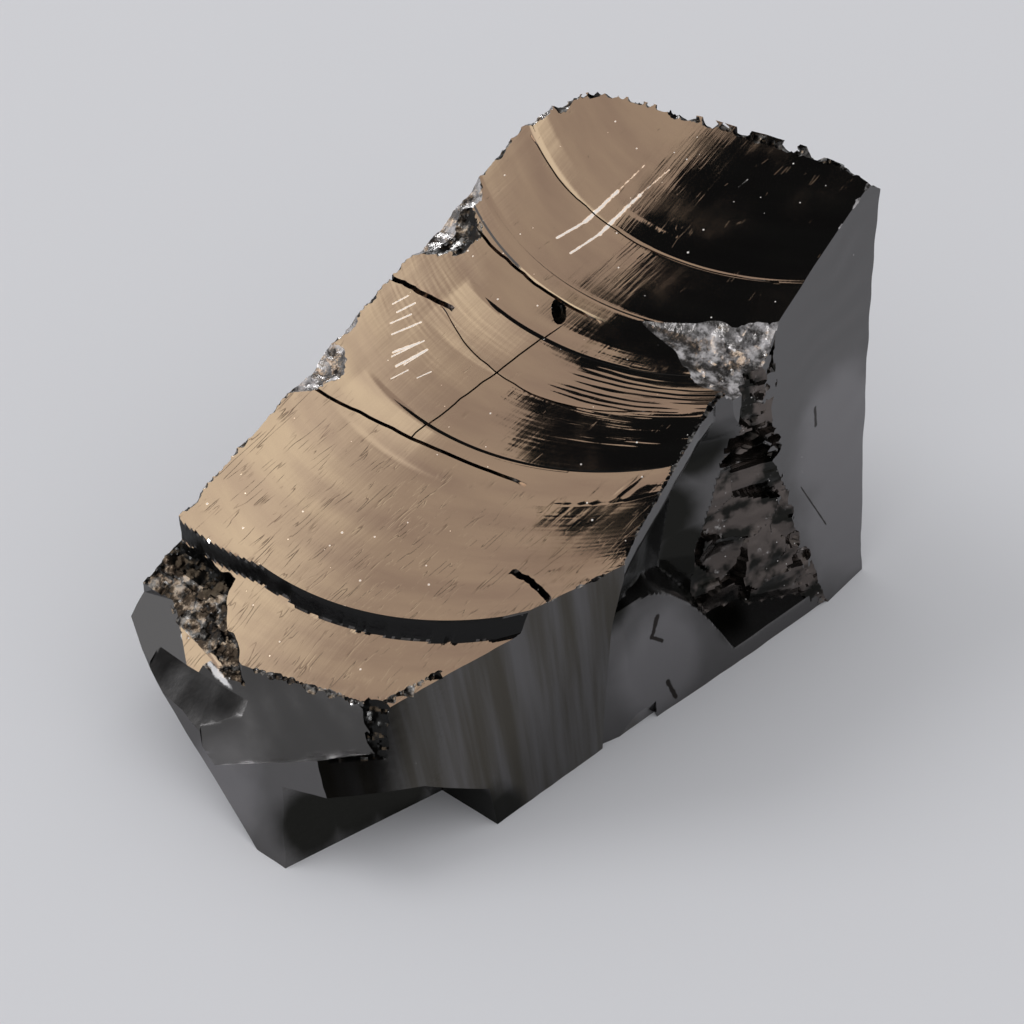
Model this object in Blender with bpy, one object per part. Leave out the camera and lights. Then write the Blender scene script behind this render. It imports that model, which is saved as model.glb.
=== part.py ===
"""Raw shungite stone: one block of black glassy rock, broken out of a larger lump.

The stone is made the way it broke. A rough block is cut by fracture faces, one cutter each. A cutter
is a slab whose inner side is the fracture face, with the hollow, the steps or the shards of that
face, so that the edges and the corners of the stone are where the faces meet.

Run with: blender --background --python part.py
"""
import math
import random

import bmesh
import bpy
import numpy as np
from mathutils import Matrix, Vector

MM = 0.001

# ---- driving dimensions, in millimetres -------------------------------------------------------
# The origin is on the ground under the middle of the stone, and X runs along its length.
BLOCK_SIZE = (124, 72, 70)          # rough block that the faces are cut from
BLOCK_MIDDLE = Vector((0, 0, 35))
TO_ORIGIN = Vector((-0.3, 0.6, 0))  # puts the middle of the stone's box over the origin
HEART = Vector((0, 0, 22))          # a point inside the stone, which every face looks away from
WIDE = (-95, 95)                    # a face that runs right across the block
REACH = 75                          # how far a cutter reaches out from its face
HOLLOW_RIM = 15                     # a hollow's rim rises no further than this above its plane

# Corners of the stone, where the faces meet.
TOP_RIGHT_FRONT = Vector((52.2, -21.2, 54.5))
TOP_RIGHT_BACK = Vector((45.0, 20.5, 55.6))
TOP_BACK_CORNER = Vector((39.4, 26.8, 53.2))
TOP_LEFT_BACK = Vector((-31.2, 27.6, 25.0))
SIDE_NOTCH = Vector((27.9, -23.8, 47.6))
FRONT_TIP = Vector((-36.9, -11.6, 19.2))
BENCH_LEFT = Vector((-40.8, 5.3, 18.0))
RIDGE_TOP = Vector((-42.5, 16.5, 18.0))
RIDGE_END = Vector((-44.4, 4.4, 15.5))
LEFT_CHEEK = Vector((-46.6, 16.2, 12.5))
FRONT_LEDGE = Vector((-44.0, -5.2, 10.0))
FOOT_SHOULDER = Vector((-47.9, -3.0, 9.0))
FOOT_TIP = Vector((-51.6, -9.3, 0))
FOOT_LEFT = Vector((-50.2, 0.7, 2.5))
BASE_RIGHT = Vector((42.0, -28.2, 0))
BASE_SIDE = Vector((35.2, -29.6, 0))
BASE_BACK_LEFT = Vector((-25, 29, 0))
UNDERSIDE_FRONT = Vector((-52, -5, 0))
GROOVE_MIDDLE = Vector((-42.8, 10.5, 17.8))
LENS_MIDDLE = Vector((-40.7, 22.0, 15.6))
CORNER_CHIP_MIDDLE = Vector((50.6, -18.5, 56.4))

# The way that the faces look which no three corners give, and the lines that some of them follow.
BACK_OUTWARD = Vector((0.004, 1, 0.03))
BACK_CORNER_OUTWARD = Vector((0.7, 0.7, -0.05))
GROOVE_OUTWARD = Vector((-0.35, -0.05, 0.93))
LENS_OUTWARD = Vector((-0.62, 0.234, 0.748))
LEFT_END_OUTWARD = Vector((-0.86, 0.36, 0.36))
CORNER_CHIP_OUTWARD = Vector((0.72, -0.1, 0.66))
RIM_CHIP_OUTWARD = Vector((-0.3, 0.45, 0.84))
FRONT_LEDGE_LINE = Vector((0.357, -0.86, 0.362))

# The left cheek is plane up to here, and curves outward from there; the lens is plane up to its bank.
CHEEK_PLANE = 2
CHEEK_CURVE = 0.06
LENS_PLANE = 3.6

# The undercut below the curtain wall and beside the foot, as the corners of a wedge.
UNDERCUT = ((-62, -9.6, -6), (-62, -40, -6), (-28, -17.6, -6), (-28, -40, -6),
            (-62, -1, 13), (-62, -40, 26), (-28, -12.7, 4.5), (-28, -40, 7))

# How steeply a shaped face rises past its edge, so that it cuts nothing there.
EDGE_BANK = 2.5

# The long side, as how far its surface stands out from the upright plane y = SIDE_Y at each x and z.
SIDE_Y = -24.5
SCOOP_EDGE = -8.3                   # x of the scoop's left edge, beside the curtain wall
RIM_HEIGHT = (36.5, 0.4)            # the top face's rim above x = 0, and its rise for each millimetre of x
SCOOP_RIM_X = (-8.4, -3.6, 1.4, 6.5, 11.6, 16.2, 22)
SCOOP_RIM_OUT = (3.5, 2.2, 1.3, 0.3, -0.65, -1.0, -1.5)
SCOOP_BAND = 2.2                    # upright band below the rim, before the scoop goes in
SCOOP_DEPTH = 4.5
SCOOP_RUN = 10                      # height over which it goes in
RIDGE_Z = (18, 27, 35, 43)          # the soft ridge between the scoop and the rough break
RIDGE_X = (12.6, 15.3, 17.9, 19.0)
FOOT_X = (-10, -8.2, -2.3, 7, 12, 18.6, 35.2)
FOOT_OUT = (-0.3, 0.2, 2.1, 3.0, 3.4, 4.0, 5.1)
FOOT_LEAN = 0.22
FOOT_CROWN = (18, 0.07, 1)          # the foot's top edge: its height, how it falls off, and from where
FOOT_STRIP = 2.2                    # the lowest height of that edge
FOOT_CAP = 1.3                      # how steeply the foot's surface goes in above it
BREAK_Z = (0, 8.6, 16.4, 25.4, 35.5, 41.1, 47.6)    # the edge between the rough break and the right wall
BREAK_X = (33.6, 31.2, 29.1, 27.7, 26.4, 27.4, 28.2)
BREAK_Z_DEPTH = (0, 20, 43)
BREAK_DEPTH = (0.5, 0.48, 0.25)     # how fast the rough break goes in from its edge
BREAK_SHARDS = (7.5, 0.2, 5)        # size, tilt and seed

# The rough shoulder: where its edge runs over the top face, how high its edge is and how deep it goes.
SHOULDER_V = (-6, 0, 1.9, 4.7, 6.5, 9.8, 11.4, 12.6, 12.9, 16.5, 18.9, 21.6, 24.3, 40)
SHOULDER_U = (-70, -56, -52.5, -50.1, -48.6, -47.2, -45.4, -43.3, -40.9, -40.8, -40.3, -40.4, -39.4, -37)
SHOULDER_DEEP_V = (5, 12.6, 12.9, 18, 30)
SHOULDER_DEEP = (1.4, 1.2, 3.6, 4.4, 4.4)
SHOULDER_SLOPE = 1.5
SHOULDER_STEP_V = (12.6, 12.9)      # where its edge changes from the bench to the top face
SHOULDER_SHARDS = (3.2, 0.2, 2)     # size, tilt and seed

# The flute in the top face, in u, v: its tip, and how it turns, widens and deepens for each millimetre.
FLUTE_TIP = (15.9, -10.2)
FLUTE_TURN = 0.15
FLUTE_SPREAD = 0.4
FLUTE_DEPTH = 0.15

# The top face slopes up to the right. Its ripples are arcs of one circle, carried along the face.
TOP_MIDDLE = Vector((5.0, 3.0, 39.0))
TOP_OUTWARD = Vector((-0.371, -0.0175, 0.9285))
ARC_RADIUS = 45
ARC_MIDDLE_LEFT = 7                 # v of the arcs' middle at the left end, and at the right end
ARC_MIDDLE_RIGHT = -3
BENCH_STEP_TOP = -39.2              # where the step down to the front bench starts, and where it ends
BENCH_STEP_FOOT = -41.2
BENCH_DROP = 2.6
BENCH_STEP_BEND = 0.25              # how far the step moves left for each millimetre up the arc
ARC_STEPS = ((-14.0, 0.35), (-0.5, 0.45), (6.9, -0.4), (13.1, 0.5), (15.3, -0.35), (25.5, 0.4))
STEP_RUN = 1.2                      # length over which a small step falls

# Cracks in the top face: start and end as (u, v), bow to the side, half width and depth.
CRACKS = (((-14.5, 26), (-11.7, -13), -0.9, 0.5, 1.2), ((-14, 5), (11.5, -2), 0.3, 0.4, 0.9),
          ((4.5, 26), (4.7, 13), 0, 0.6, 1.4), ((4.6, 15), (6, -21), -5.7, 0.35, 0.7),
          ((17, 20), (13, -6), -1.3, 0.35, 0.7), ((32.5, 22), (30, -23), -5.7, 0.35, 0.6))
# Chips along the back rim of the top face: place (u, v), radius and depth.
BACK_RIM_CHIPS = ((13.8, 23.0, 4.6, 1.5), (-12.6, 22.5, 3.2, 1.2), (-5.0, 24.6, 2.6, 0.8),
                  (36.0, 23.8, 2.8, 1.1), (26.5, 26.0, 3.0, 0.9), (-25.0, 25.6, 2.2, 0.6))

# The curtain wall: its rim slopes down to the left, and its foot leans out.
CURTAIN_MIDDLE = Vector((-22.7, -19.6, 27.4))
CURTAIN_OUTWARD = Vector((-0.513, -0.858, 0))
CURTAIN_RIM_SLOPE = 0.34            # rise of the rim per millimetre along it
CURTAIN_FOOT_OUT = 5.6              # how far the wall's foot stands out from its rim in the middle
CURTAIN_FOOT_TURN = 0.52            # and how much less for each millimetre to the right

SLOT = "shungite"
COLOUR = (0.10, 0.09, 0.085, 1)
ROUGHNESS = 0.18
METALLIC = 0.6


# ---- reliefs: how far a face stands out from its plane at (s, t), in millimetres -------------------
def flat(s, t):
    return 0


def hollow(depth, half_width, half_height, s0=0, t0=0):
    """A conchoidal hollow, `depth` deep in the middle and level with the plane at its half sizes."""
    def relief(s, t):
        spread = ((s - s0) / half_width) ** 2 + ((t - t0) / half_height) ** 2
        return min(depth * (spread - 1), HOLLOW_RIM)
    return relief


def shards(base, size, tilt, seed):
    """Breaks a relief into splinters: each cell of about `size` is its own small tilted plane."""
    def relief(s, t):
        column, row = math.floor(s / size), math.floor(t / size)
        cells = [shard_cell(column + i, row + j, seed) for i in (-1, 0, 1) for j in (-1, 0, 1)]
        x, y, lean_x, lean_y, lift = min(cells, key=lambda cell: math.dist(cell[:2], (s / size, t / size)))
        return base(s, t) + tilt * size * (lean_x * (s / size - x) + lean_y * (t / size - y) + lift)
    return relief


def shard_cell(column, row, seed):
    """The middle of one shard in a jittered grid, its lean two ways, and its lift."""
    chance = random.Random(f"{seed} {column} {row}")
    return (column + chance.random(), row + chance.random(),
            chance.uniform(-1, 1), chance.uniform(-1, 1), chance.uniform(-0.3, 0.3))


def turned_away(s, t):
    """A face that is plane to the left and curves outward to the right."""
    return CHEEK_CURVE * max(s - CHEEK_PLANE, 0) ** 2


def lens_bank(s, t):
    """A plane face that ends at a steep bank on its right."""
    return EDGE_BANK * max(s - LENS_PLANE, 0)


def twist(s, t):
    """The curtain's face: it keeps to its rim above, and leans out more and more to the left below."""
    rim = CURTAIN_RIM_SLOPE * s
    share = max(rim - t, 0) / (CURTAIN_MIDDLE.z + rim)
    return (CURTAIN_FOOT_OUT - CURTAIN_FOOT_TURN * s) * share


# ---- the top face ---------------------------------------------------------------------------------
def arc_place(along, across):
    """A place on the top face: `along` says which ripple arc it is on, `across` how far up the arc."""
    share = min(max((along - BENCH_STEP_FOOT) / (ARC_STEPS[-1][0] - BENCH_STEP_FOOT), 0), 1)
    middle = ARC_MIDDLE_LEFT + share * (ARC_MIDDLE_RIGHT - ARC_MIDDLE_LEFT)
    angle = across / ARC_RADIUS
    return (along + ARC_RADIUS * (1 - math.cos(angle)), middle + ARC_RADIUS * math.sin(angle))


def top_relief(along, across):
    """Steps of the top face: the drop to the front bench, and small ledges along the ripples."""
    bend = BENCH_STEP_BEND * max(across - 2.5, 0)
    fall = (BENCH_STEP_TOP - bend - along) / (BENCH_STEP_TOP - BENCH_STEP_FOOT)
    height = -BENCH_DROP * min(max(fall, 0), 1)
    for place, rise in ARC_STEPS:
        height += rise * min(max((along - place) / STEP_RUN, 0), 1)
    return height


# ---- the long side, the shoulder and the flute -----------------------------------------------------
def right_wall_out(x, z):
    """How far the plane of the smooth right wall stands out from the side's upright plane."""
    a, b, c = TOP_RIGHT_FRONT, SIDE_NOTCH, BASE_SIDE
    normal = (b - a).cross(c - a)
    return SIDE_Y - a.y + (normal.x * (x - a.x) + normal.z * (z - a.z)) / normal.y


def scoop_out(x, z):
    """The smooth scoop below the rim, up to the soft ridge on its right."""
    down = RIM_HEIGHT[0] + RIM_HEIGHT[1] * x - z
    share = min(max((down - SCOOP_BAND) / SCOOP_RUN, 0), 1)
    into = SCOOP_DEPTH * share * share * (3 - 2 * share)
    right = max(x - np.interp(z, RIDGE_Z, RIDGE_X) + SCOOP_DEPTH - 1, 0)    # the ridge's left slope
    return np.interp(x, SCOOP_RIM_X, SCOOP_RIM_OUT) - into + right


def foot_out(x, z):
    """The face below the scoop, with its rounded top edge, and the narrow strip to the right of it."""
    height, fall, start = FOOT_CROWN
    top = max(height - fall * max(x - start, 0) ** 2, FOOT_STRIP)
    return np.interp(x, FOOT_X, FOOT_OUT) - FOOT_LEAN * z - FOOT_CAP * max(z - top, 0)


def break_out(x, z):
    """The rough break, which goes in from the edge of the right wall towards the scoop."""
    inside = np.interp(z, BREAK_Z, BREAK_X) - x
    depth = np.interp(z, BREAK_Z_DEPTH, BREAK_DEPTH) * max(inside, 0)
    past = max(-inside, 0) + max(np.interp(z, RIDGE_Z, RIDGE_X) + 1 - x, 0)
    return right_wall_out(x, z) - depth + EDGE_BANK * past + shards(flat, *BREAK_SHARDS)(x, z)


def side_relief(x, z):
    """The scoop, the foot below it, and the rough break to the right of them, as one surface."""
    left = 2 * EDGE_BANK * max(SCOOP_EDGE - x, 0)
    return max(min(scoop_out(x, z), break_out(x, z)), foot_out(x, z)) + left


def shoulder_relief(u, v):
    """The rough shoulder, as depth below the top face's plane, going down from its edge."""
    inside = np.interp(v, SHOULDER_V, SHOULDER_U) - u
    edge = np.interp(v, SHOULDER_STEP_V, (-BENCH_DROP, 0))
    deep = np.interp(v, SHOULDER_DEEP_V, SHOULDER_DEEP)
    down = min(SHOULDER_SLOPE * max(inside, 0), deep)
    rough = shards(flat, *SHOULDER_SHARDS)(u, v) * min(max(1.5 * down / deep - 0.6, 0), 1)
    return edge - down + EDGE_BANK * max(-inside, 0) + rough


def flute_relief(u, v):
    """A fluted hollow that widens and deepens from its tip on the top face to the rim."""
    run = max(FLUTE_TIP[1] - v, 0.01)
    place = (u - FLUTE_TIP[0] - FLUTE_TURN * run) / (FLUTE_SPREAD * run)
    return FLUTE_DEPTH * run * (place ** 2 - 1) + EDGE_BANK * max(v - FLUTE_TIP[1], 0)


# ---- cutters --------------------------------------------------------------------------------------
def face_turn(outward, along):
    """The rotation that lays a face's s along `along` and points its normal along `outward`."""
    z = outward.normalized()
    x = (along - z * z.dot(along)).normalized()
    return Matrix((x, z.cross(x), z)).transposed()


def scar(name, middle, outward, across=WIDE, up=WIDE, cells=(2, 2), relief=flat, place=None,
         along=Vector((1, 0, 0)), reach=REACH):
    """One fracture face, as a closed slab that reaches outward from it."""
    bm = bmesh.new()
    bmesh.ops.create_grid(bm, x_segments=cells[0], y_segments=cells[1], size=0.5)
    for vert in bm.verts:
        s = across[0] + (across[1] - across[0]) * (vert.co.x + 0.5)
        t = up[0] + (up[1] - up[0]) * (vert.co.y + 0.5)
        on_plane = place(s, t) if place else (s, t)
        vert.co = Vector((*on_plane, min(relief(s, t), reach - 1)))
    outer = bmesh.ops.extrude_face_region(bm, geom=bm.faces[:])["geom"]
    for item in outer:
        if isinstance(item, bmesh.types.BMVert):
            item.co.z = reach
    turn = face_turn(outward, along)
    bmesh.ops.transform(bm, matrix=Matrix.Translation(middle) @ turn.to_4x4(), verts=bm.verts)
    bmesh.ops.scale(bm, vec=(MM, MM, MM), verts=bm.verts)
    bmesh.ops.recalc_face_normals(bm, faces=bm.faces)
    return to_object(bm, name, CUTTERS)


def scar_through(name, a, b, c, **shape):
    """A fracture face that passes through three corners of the stone."""
    outward = (b - a).cross(c - a)
    middle = (a + b + c) / 3
    if outward.dot(middle - HEART) < 0:
        outward = -outward
    return scar(name, middle, outward, **shape)


def wedge(name, corners):
    """A cutter that is the smallest convex body around its corners."""
    bm = bmesh.new()
    for corner in corners:
        bm.verts.new(Vector(corner) * MM)
    bmesh.ops.convex_hull(bm, input=bm.verts[:])
    bmesh.ops.recalc_face_normals(bm, faces=bm.faces)
    return to_object(bm, name, CUTTERS)


def to_object(bm, name, collection):
    bmesh.ops.translate(bm, vec=TO_ORIGIN * MM, verts=bm.verts)
    mesh = bpy.data.meshes.new(name)
    bm.to_mesh(mesh)
    bm.free()
    piece = bpy.data.objects.new(name, mesh)
    collection.objects.link(piece)
    return piece


def on_top(u, v):
    """The world place of a point of the top face."""
    return TOP_MIDDLE + face_turn(TOP_OUTWARD, Vector((1, 0, 0))) @ Vector((u, v, 0))


def crack(name, start, end, bow, width, depth):
    """A narrow V-shaped gap in the top face, from one point to another along a bowed line."""
    start, end = Vector(start), Vector(end)
    side = (end - start).orthogonal().normalized()

    def place(s, t):
        return start.lerp(end, t) + side * (s + bow * 4 * t * (1 - t))

    def relief(s, t):
        return -depth * (1 - abs(s) / width) * min(4 * t, 4 - 4 * t, 1)

    return scar(name, TOP_MIDDLE, TOP_OUTWARD, across=(-width, width), up=(0, 1), cells=(2, 10),
                relief=relief, place=place, reach=4)


def chip(name, u, v, radius, depth):
    """A small conchoidal chip out of the top face's back rim."""
    return scar(name, on_top(u, v), RIM_CHIP_OUTWARD, across=(-1.5 * radius, 1.5 * radius),
                up=(-1.5 * radius, 1.5 * radius), cells=(8, 8), reach=12,
                relief=hollow(depth, radius, radius))


# ---- the faces of this stone ----------------------------------------------------------------------
def long_faces():
    """The faces that bound the block: top, right end, back, and the smooth wall at the right."""
    return [
        scar("top", TOP_MIDDLE, TOP_OUTWARD, across=(-95, 60), up=(-58, 50), cells=(124, 13),
             relief=top_relief, place=arc_place),
        scar_through("right_end", TOP_RIGHT_FRONT, TOP_RIGHT_BACK, BASE_RIGHT, cells=(40, 40),
                     relief=shards(flat, 18, 0.05, 3)),
        scar("back", TOP_LEFT_BACK, BACK_OUTWARD, cells=(50, 50),
             relief=shards(flat, 20, 0.06, 8)),
        scar("back_corner", (TOP_BACK_CORNER + TOP_RIGHT_BACK) / 2, BACK_CORNER_OUTWARD,
             cells=(30, 30), relief=shards(flat, 14, 0.1, 1)),
        scar_through("right_wall", TOP_RIGHT_FRONT, SIDE_NOTCH, BASE_SIDE, cells=(24, 24),
                     relief=hollow(0.8, 30, 30)),
    ]


def side_faces():
    """The scoop, its foot and the rough break in the long side."""
    return [scar("side", Vector((0, SIDE_Y, 0)), Vector((0, -1, 0)), across=(-14, 46), up=(-6, 62),
                 cells=(50, 50), relief=side_relief, reach=20)]


def front_faces():
    """The curtain wall, the front end's facets and the foot."""
    return [
        scar("curtain", CURTAIN_MIDDLE, CURTAIN_OUTWARD, across=(-34, 24), up=(-45, 45),
             cells=(20, 30), relief=twist),
        scar_through("front", FRONT_TIP, BENCH_LEFT, FRONT_LEDGE, along=FRONT_LEDGE_LINE,
                     across=(-16, 16), up=(-5.7, 26)),
        scar_through("cheek", RIDGE_TOP, RIDGE_END, LEFT_CHEEK, along=Vector((0, -1, 0)),
                     across=(-15, 20), up=(-9, 20), cells=(18, 2), relief=turned_away),
        scar("groove", GROOVE_MIDDLE, GROOVE_OUTWARD, along=RIDGE_END - RIDGE_TOP,
             across=(-12, 12), up=(-6, 6), cells=(16, 8), relief=hollow(1.8, 9, 2.6), reach=16),
        scar("shoulder", TOP_MIDDLE, TOP_OUTWARD, across=(-75, -33), up=(-6, 40), cells=(36, 36),
             relief=shoulder_relief, reach=30),
        scar("lens", LENS_MIDDLE, LENS_OUTWARD, across=(-30, 10), up=(-30, 30), cells=(40, 2),
             relief=lens_bank),
        scar_through("foot_front", FOOT_SHOULDER, FOOT_TIP, FOOT_LEFT),
        scar("left_end", LEFT_CHEEK, LEFT_END_OUTWARD),
        scar_through("underside_left", FOOT_LEFT, UNDERSIDE_FRONT, BASE_BACK_LEFT),
        wedge("undercut", UNDERCUT),
    ]


def top_marks():
    """The flute at the rim, the cracks, and the chips along the back rim and the right corner."""
    marks = [
        scar("flute", TOP_MIDDLE, TOP_OUTWARD, across=(4, 36), up=(-42, -4), cells=(26, 26),
             relief=flute_relief, reach=16),
        scar("corner_chip", CORNER_CHIP_MIDDLE, CORNER_CHIP_OUTWARD, across=(-8, 14), up=(-6, 8),
             cells=(8, 6), relief=shards(flat, 3, 0.2, 4), reach=16),
    ]
    for number, (start, end, bow, width, depth) in enumerate(CRACKS, 1):
        marks.append(crack(f"crack_{number}", start, end, bow, width, depth))
    for number, (u, v, radius, depth) in enumerate(BACK_RIM_CHIPS, 1):
        marks.append(chip(f"rim_chip_{number}", u, v, radius, depth))
    return marks


def build_stone():
    bm = bmesh.new()
    bmesh.ops.create_cube(bm, size=1)
    bmesh.ops.scale(bm, vec=Vector(BLOCK_SIZE) * MM, verts=bm.verts)
    bmesh.ops.translate(bm, vec=BLOCK_MIDDLE * MM, verts=bm.verts)
    stone = to_object(bm, "stone", PARTS)
    for cutter in long_faces() + side_faces() + front_faces() + top_marks():
        cutter.hide_render = True
        cutter.display_type = "WIRE"
    breaks = stone.modifiers.new("fracture faces", "BOOLEAN")
    breaks.operation = "DIFFERENCE"
    breaks.solver = "EXACT"
    breaks.operand_type = "COLLECTION"
    breaks.collection = CUTTERS
    return stone


def stone_material():
    material = bpy.data.materials.new(SLOT)
    material.use_nodes = True
    shader = material.node_tree.nodes["Principled BSDF"]
    shader.inputs["Base Color"].default_value = COLOUR
    shader.inputs["Roughness"].default_value = ROUGHNESS
    shader.inputs["Metallic"].default_value = METALLIC
    return material


def new_collection(name):
    collection = bpy.data.collections.new(name)
    bpy.context.scene.collection.children.link(collection)
    return collection


for leftover in list(bpy.data.objects):
    bpy.data.objects.remove(leftover, do_unlink=True)
PARTS = new_collection("shungite_stone")
CUTTERS = new_collection("cutters")
CUTTERS.hide_render = True
build_stone().data.materials.append(stone_material())
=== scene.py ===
"""Looks of the raw shungite stone: the fine fracture faces, the black glassy surface and the studio.

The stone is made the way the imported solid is: a rough block, cut by one cutter for each fracture
face. Here the faces carry their fine relief too: ripples, hackles, splinters and the chipped rims.
"""
import math
import random

import bmesh
import bpy
import numpy as np
from mathutils import Matrix, Vector


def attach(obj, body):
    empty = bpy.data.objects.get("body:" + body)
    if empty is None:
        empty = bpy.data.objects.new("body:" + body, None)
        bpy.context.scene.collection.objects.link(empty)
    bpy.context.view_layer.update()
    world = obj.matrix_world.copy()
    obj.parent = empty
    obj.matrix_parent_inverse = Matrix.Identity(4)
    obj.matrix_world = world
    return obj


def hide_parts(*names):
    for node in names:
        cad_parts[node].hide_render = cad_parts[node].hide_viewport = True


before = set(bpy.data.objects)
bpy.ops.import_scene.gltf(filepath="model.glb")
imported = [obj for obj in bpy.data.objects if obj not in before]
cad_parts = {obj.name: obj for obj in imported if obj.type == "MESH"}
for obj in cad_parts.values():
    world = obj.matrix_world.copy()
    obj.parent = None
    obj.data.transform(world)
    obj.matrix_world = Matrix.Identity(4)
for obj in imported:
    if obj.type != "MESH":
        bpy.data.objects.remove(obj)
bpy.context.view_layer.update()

MM = 0.001

# The kinds of break, in the order of the material slots.
GLASSY, WALL, ROUGH, HACKLED_SHADE, SILVER, CRUSHED, CURTAIN = range(7)

# ---- dimensions, in millimetres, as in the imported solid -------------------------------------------
BLOCK_SIZE = (124, 72, 70)
BLOCK_MIDDLE = Vector((0, 0, 35))
TO_ORIGIN = Vector((-0.3, 0.6, 0))
HEART = Vector((0, 0, 22))
WIDE = (-95, 95)
REACH = 75
HOLLOW_RIM = 15

TOP_RIGHT_FRONT = Vector((52.2, -21.2, 54.5))
TOP_RIGHT_BACK = Vector((45.0, 20.5, 55.6))
TOP_BACK_CORNER = Vector((39.4, 26.8, 53.2))
TOP_LEFT_BACK = Vector((-31.2, 27.6, 25.0))
SIDE_NOTCH = Vector((27.9, -23.8, 47.6))
FRONT_TIP = Vector((-36.9, -11.6, 19.2))
BENCH_LEFT = Vector((-40.8, 5.3, 18.0))
RIDGE_TOP = Vector((-42.5, 16.5, 18.0))
RIDGE_END = Vector((-44.4, 4.4, 15.5))
LEFT_CHEEK = Vector((-46.6, 16.2, 12.5))
FRONT_LEDGE = Vector((-44.0, -5.2, 10.0))
FOOT_SHOULDER = Vector((-47.9, -3.0, 9.0))
FOOT_TIP = Vector((-51.6, -9.3, 0))
FOOT_LEFT = Vector((-50.2, 0.7, 2.5))
BASE_RIGHT = Vector((42.0, -28.2, 0))
BASE_SIDE = Vector((35.2, -29.6, 0))
BASE_BACK_LEFT = Vector((-25, 29, 0))
UNDERSIDE_FRONT = Vector((-52, -5, 0))
TAN_LEDGE = Vector((-41.9, 15.5, 16.1))
GROOVE_MIDDLE = Vector((-42.8, 10.5, 17.8))
FLUTE_TIP = (15.9, -10.2)
FLUTE_TURN = 0.15
FLUTE_SPREAD = 0.4
FLUTE_DEPTH = 0.15
CORNER_CHIP_MIDDLE = Vector((50.6, -18.5, 56.4))
PIT_MIDDLE = (11.6, 0.3)            # in u and v on the top face
PIT_ALONG = Vector((-0.7, -0.7, 0))
DARK_FACET_MIDDLE = Vector((-46.9, 9.6, 9.8))
DARK_FACET_OUTWARD = Vector((-0.72, -0.02, 0.69))
FRONT_GROOVE_MIDDLE = Vector((-38.7, -12.6, 16.6))
FRONT_GROOVE_OUTWARD = Vector((-0.68, -0.46, 0.57))
FRONT_GROOVE_ALONG = Vector((-3.3, -3.0, -4.0))
FRONT_GROOVE_HALF = (2.6, 1.4)      # its half width and its depth, at its start and its end
FRONT_GROOVE_DEPTH = (0.9, 0.1)
CHEEK_TURN = (2, 0.06)              # where the cheek starts to curve away, and how fast
LENS_BANK = (3.6, 2)                # where the lens's bank starts, and its slope

BACK_OUTWARD = Vector((0.004, 1, 0.03))
BACK_CORNER_OUTWARD = Vector((0.7, 0.7, -0.05))
GROOVE_OUTWARD = Vector((-0.35, -0.05, 0.93))
LEFT_END_OUTWARD = Vector((-0.86, 0.36, 0.36))
CORNER_CHIP_OUTWARD = Vector((0.72, -0.1, 0.66))
RIM_CHIP_OUTWARD = Vector((-0.3, 0.45, 0.84))
FRONT_LEDGE_LINE = Vector((0.357, -0.86, 0.362))
UNDERCUT = ((-62, -9.6, -6), (-62, -40, -6), (-28, -17.6, -6), (-28, -40, -6),
            (-62, -1, 13), (-62, -40, 26), (-28, -12.7, 4.5), (-28, -40, 7))
LENS_MIDDLE = Vector((-40.7, 22.0, 15.6))
LENS_OUTWARD = Vector((-0.62, 0.234, 0.748))

TOP_MIDDLE = Vector((5.0, 3.0, 39.0))
TOP_OUTWARD = Vector((-0.371, -0.0175, 0.9285)).normalized()
ARC_RADIUS = 45
ARC_MIDDLE_LEFT = 7
ARC_MIDDLE_RIGHT = -3
BENCH_STEP_TOP = -39.2
BENCH_STEP_FOOT = -41.2
BENCH_DROP = 2.6
BENCH_STEP_BEND = 0.25              # how far the step moves left for each millimetre up the arc
STEP_RUN_LEFT = 1.1                 # the step's width at the left, and what it grows by to the right
STEP_RUN_TURN = 0.04
STEP_TEETH = 0.3
ARC_LAST = 25.5                     # the last small step, where the arcs' middle is at the right
# Small steps: on which arc, the rise of its sharp ledge, and the slow rise behind it with its length.
ARC_STEPS = ((-17.4, 0.05, 0.22, 6.0), (-11.3, -0.25, 0, 1), (-0.5, 0.05, 0.28, 7.2),
             (6.9, -0.30, -0.1, 3), (13.1, 0.12, 0, 1), (15.3, -0.08, 0, 1), (25.5, 0.06, 0.1, 3))
LEDGE_RUN = 0.3
RIPPLE_BAND = (3, 9)                # the arc where the broad ripples are strongest, and how far they spread
RIPPLE_HEIGHT = 0.02
TORN_PLACE = (-16, -30)             # the torn waves' middle, along and across, their spread and height
TORN_SPREAD = (5, 7)
TORN_HEIGHT = 0.05
HAIR_HEIGHT = 0.0022
FADE_END = 8                        # the steps before this one fade out towards the back rim
FADE_RUN = 15
# Cracks: from (u, v) to (u, v), how far they bow, their half width and their depth.
CRACKS = (((-14.5, 26), (-11.7, -13), -0.9, 0.24, 0.8), ((-14, 5), (11.5, -2), 0.3, 0.13, 0.5),
          ((4.5, 26), (4.7, 13), 0, 0.36, 1.0), ((4.6, 15), (6, -21), -5.7, 0.10, 0.3),
          ((-22.6, -19.3), (-23.5, -26.3), 0.5, 0.45, 1.3), ((-32.1, -18.9), (-32.7, -23.5), -0.4, 0.6, 1.6),
          ((17, 20), (13, -6), -1.3, 0.22, 0.6), ((32.5, 22), (30, -23), -5.7, 0.10, 0.3))
# Chips along the back rim: place, radius and depth.
BACK_RIM_CHIPS = ((13.8, 23.0, 4.6, 1.5), (-12.6, 22.5, 3.2, 1.2), (-5.0, 24.6, 2.6, 0.8),
                  (36.0, 23.8, 2.8, 1.1), (26.5, 26.0, 3.0, 0.9), (-25.0, 25.6, 2.2, 0.6))
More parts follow.
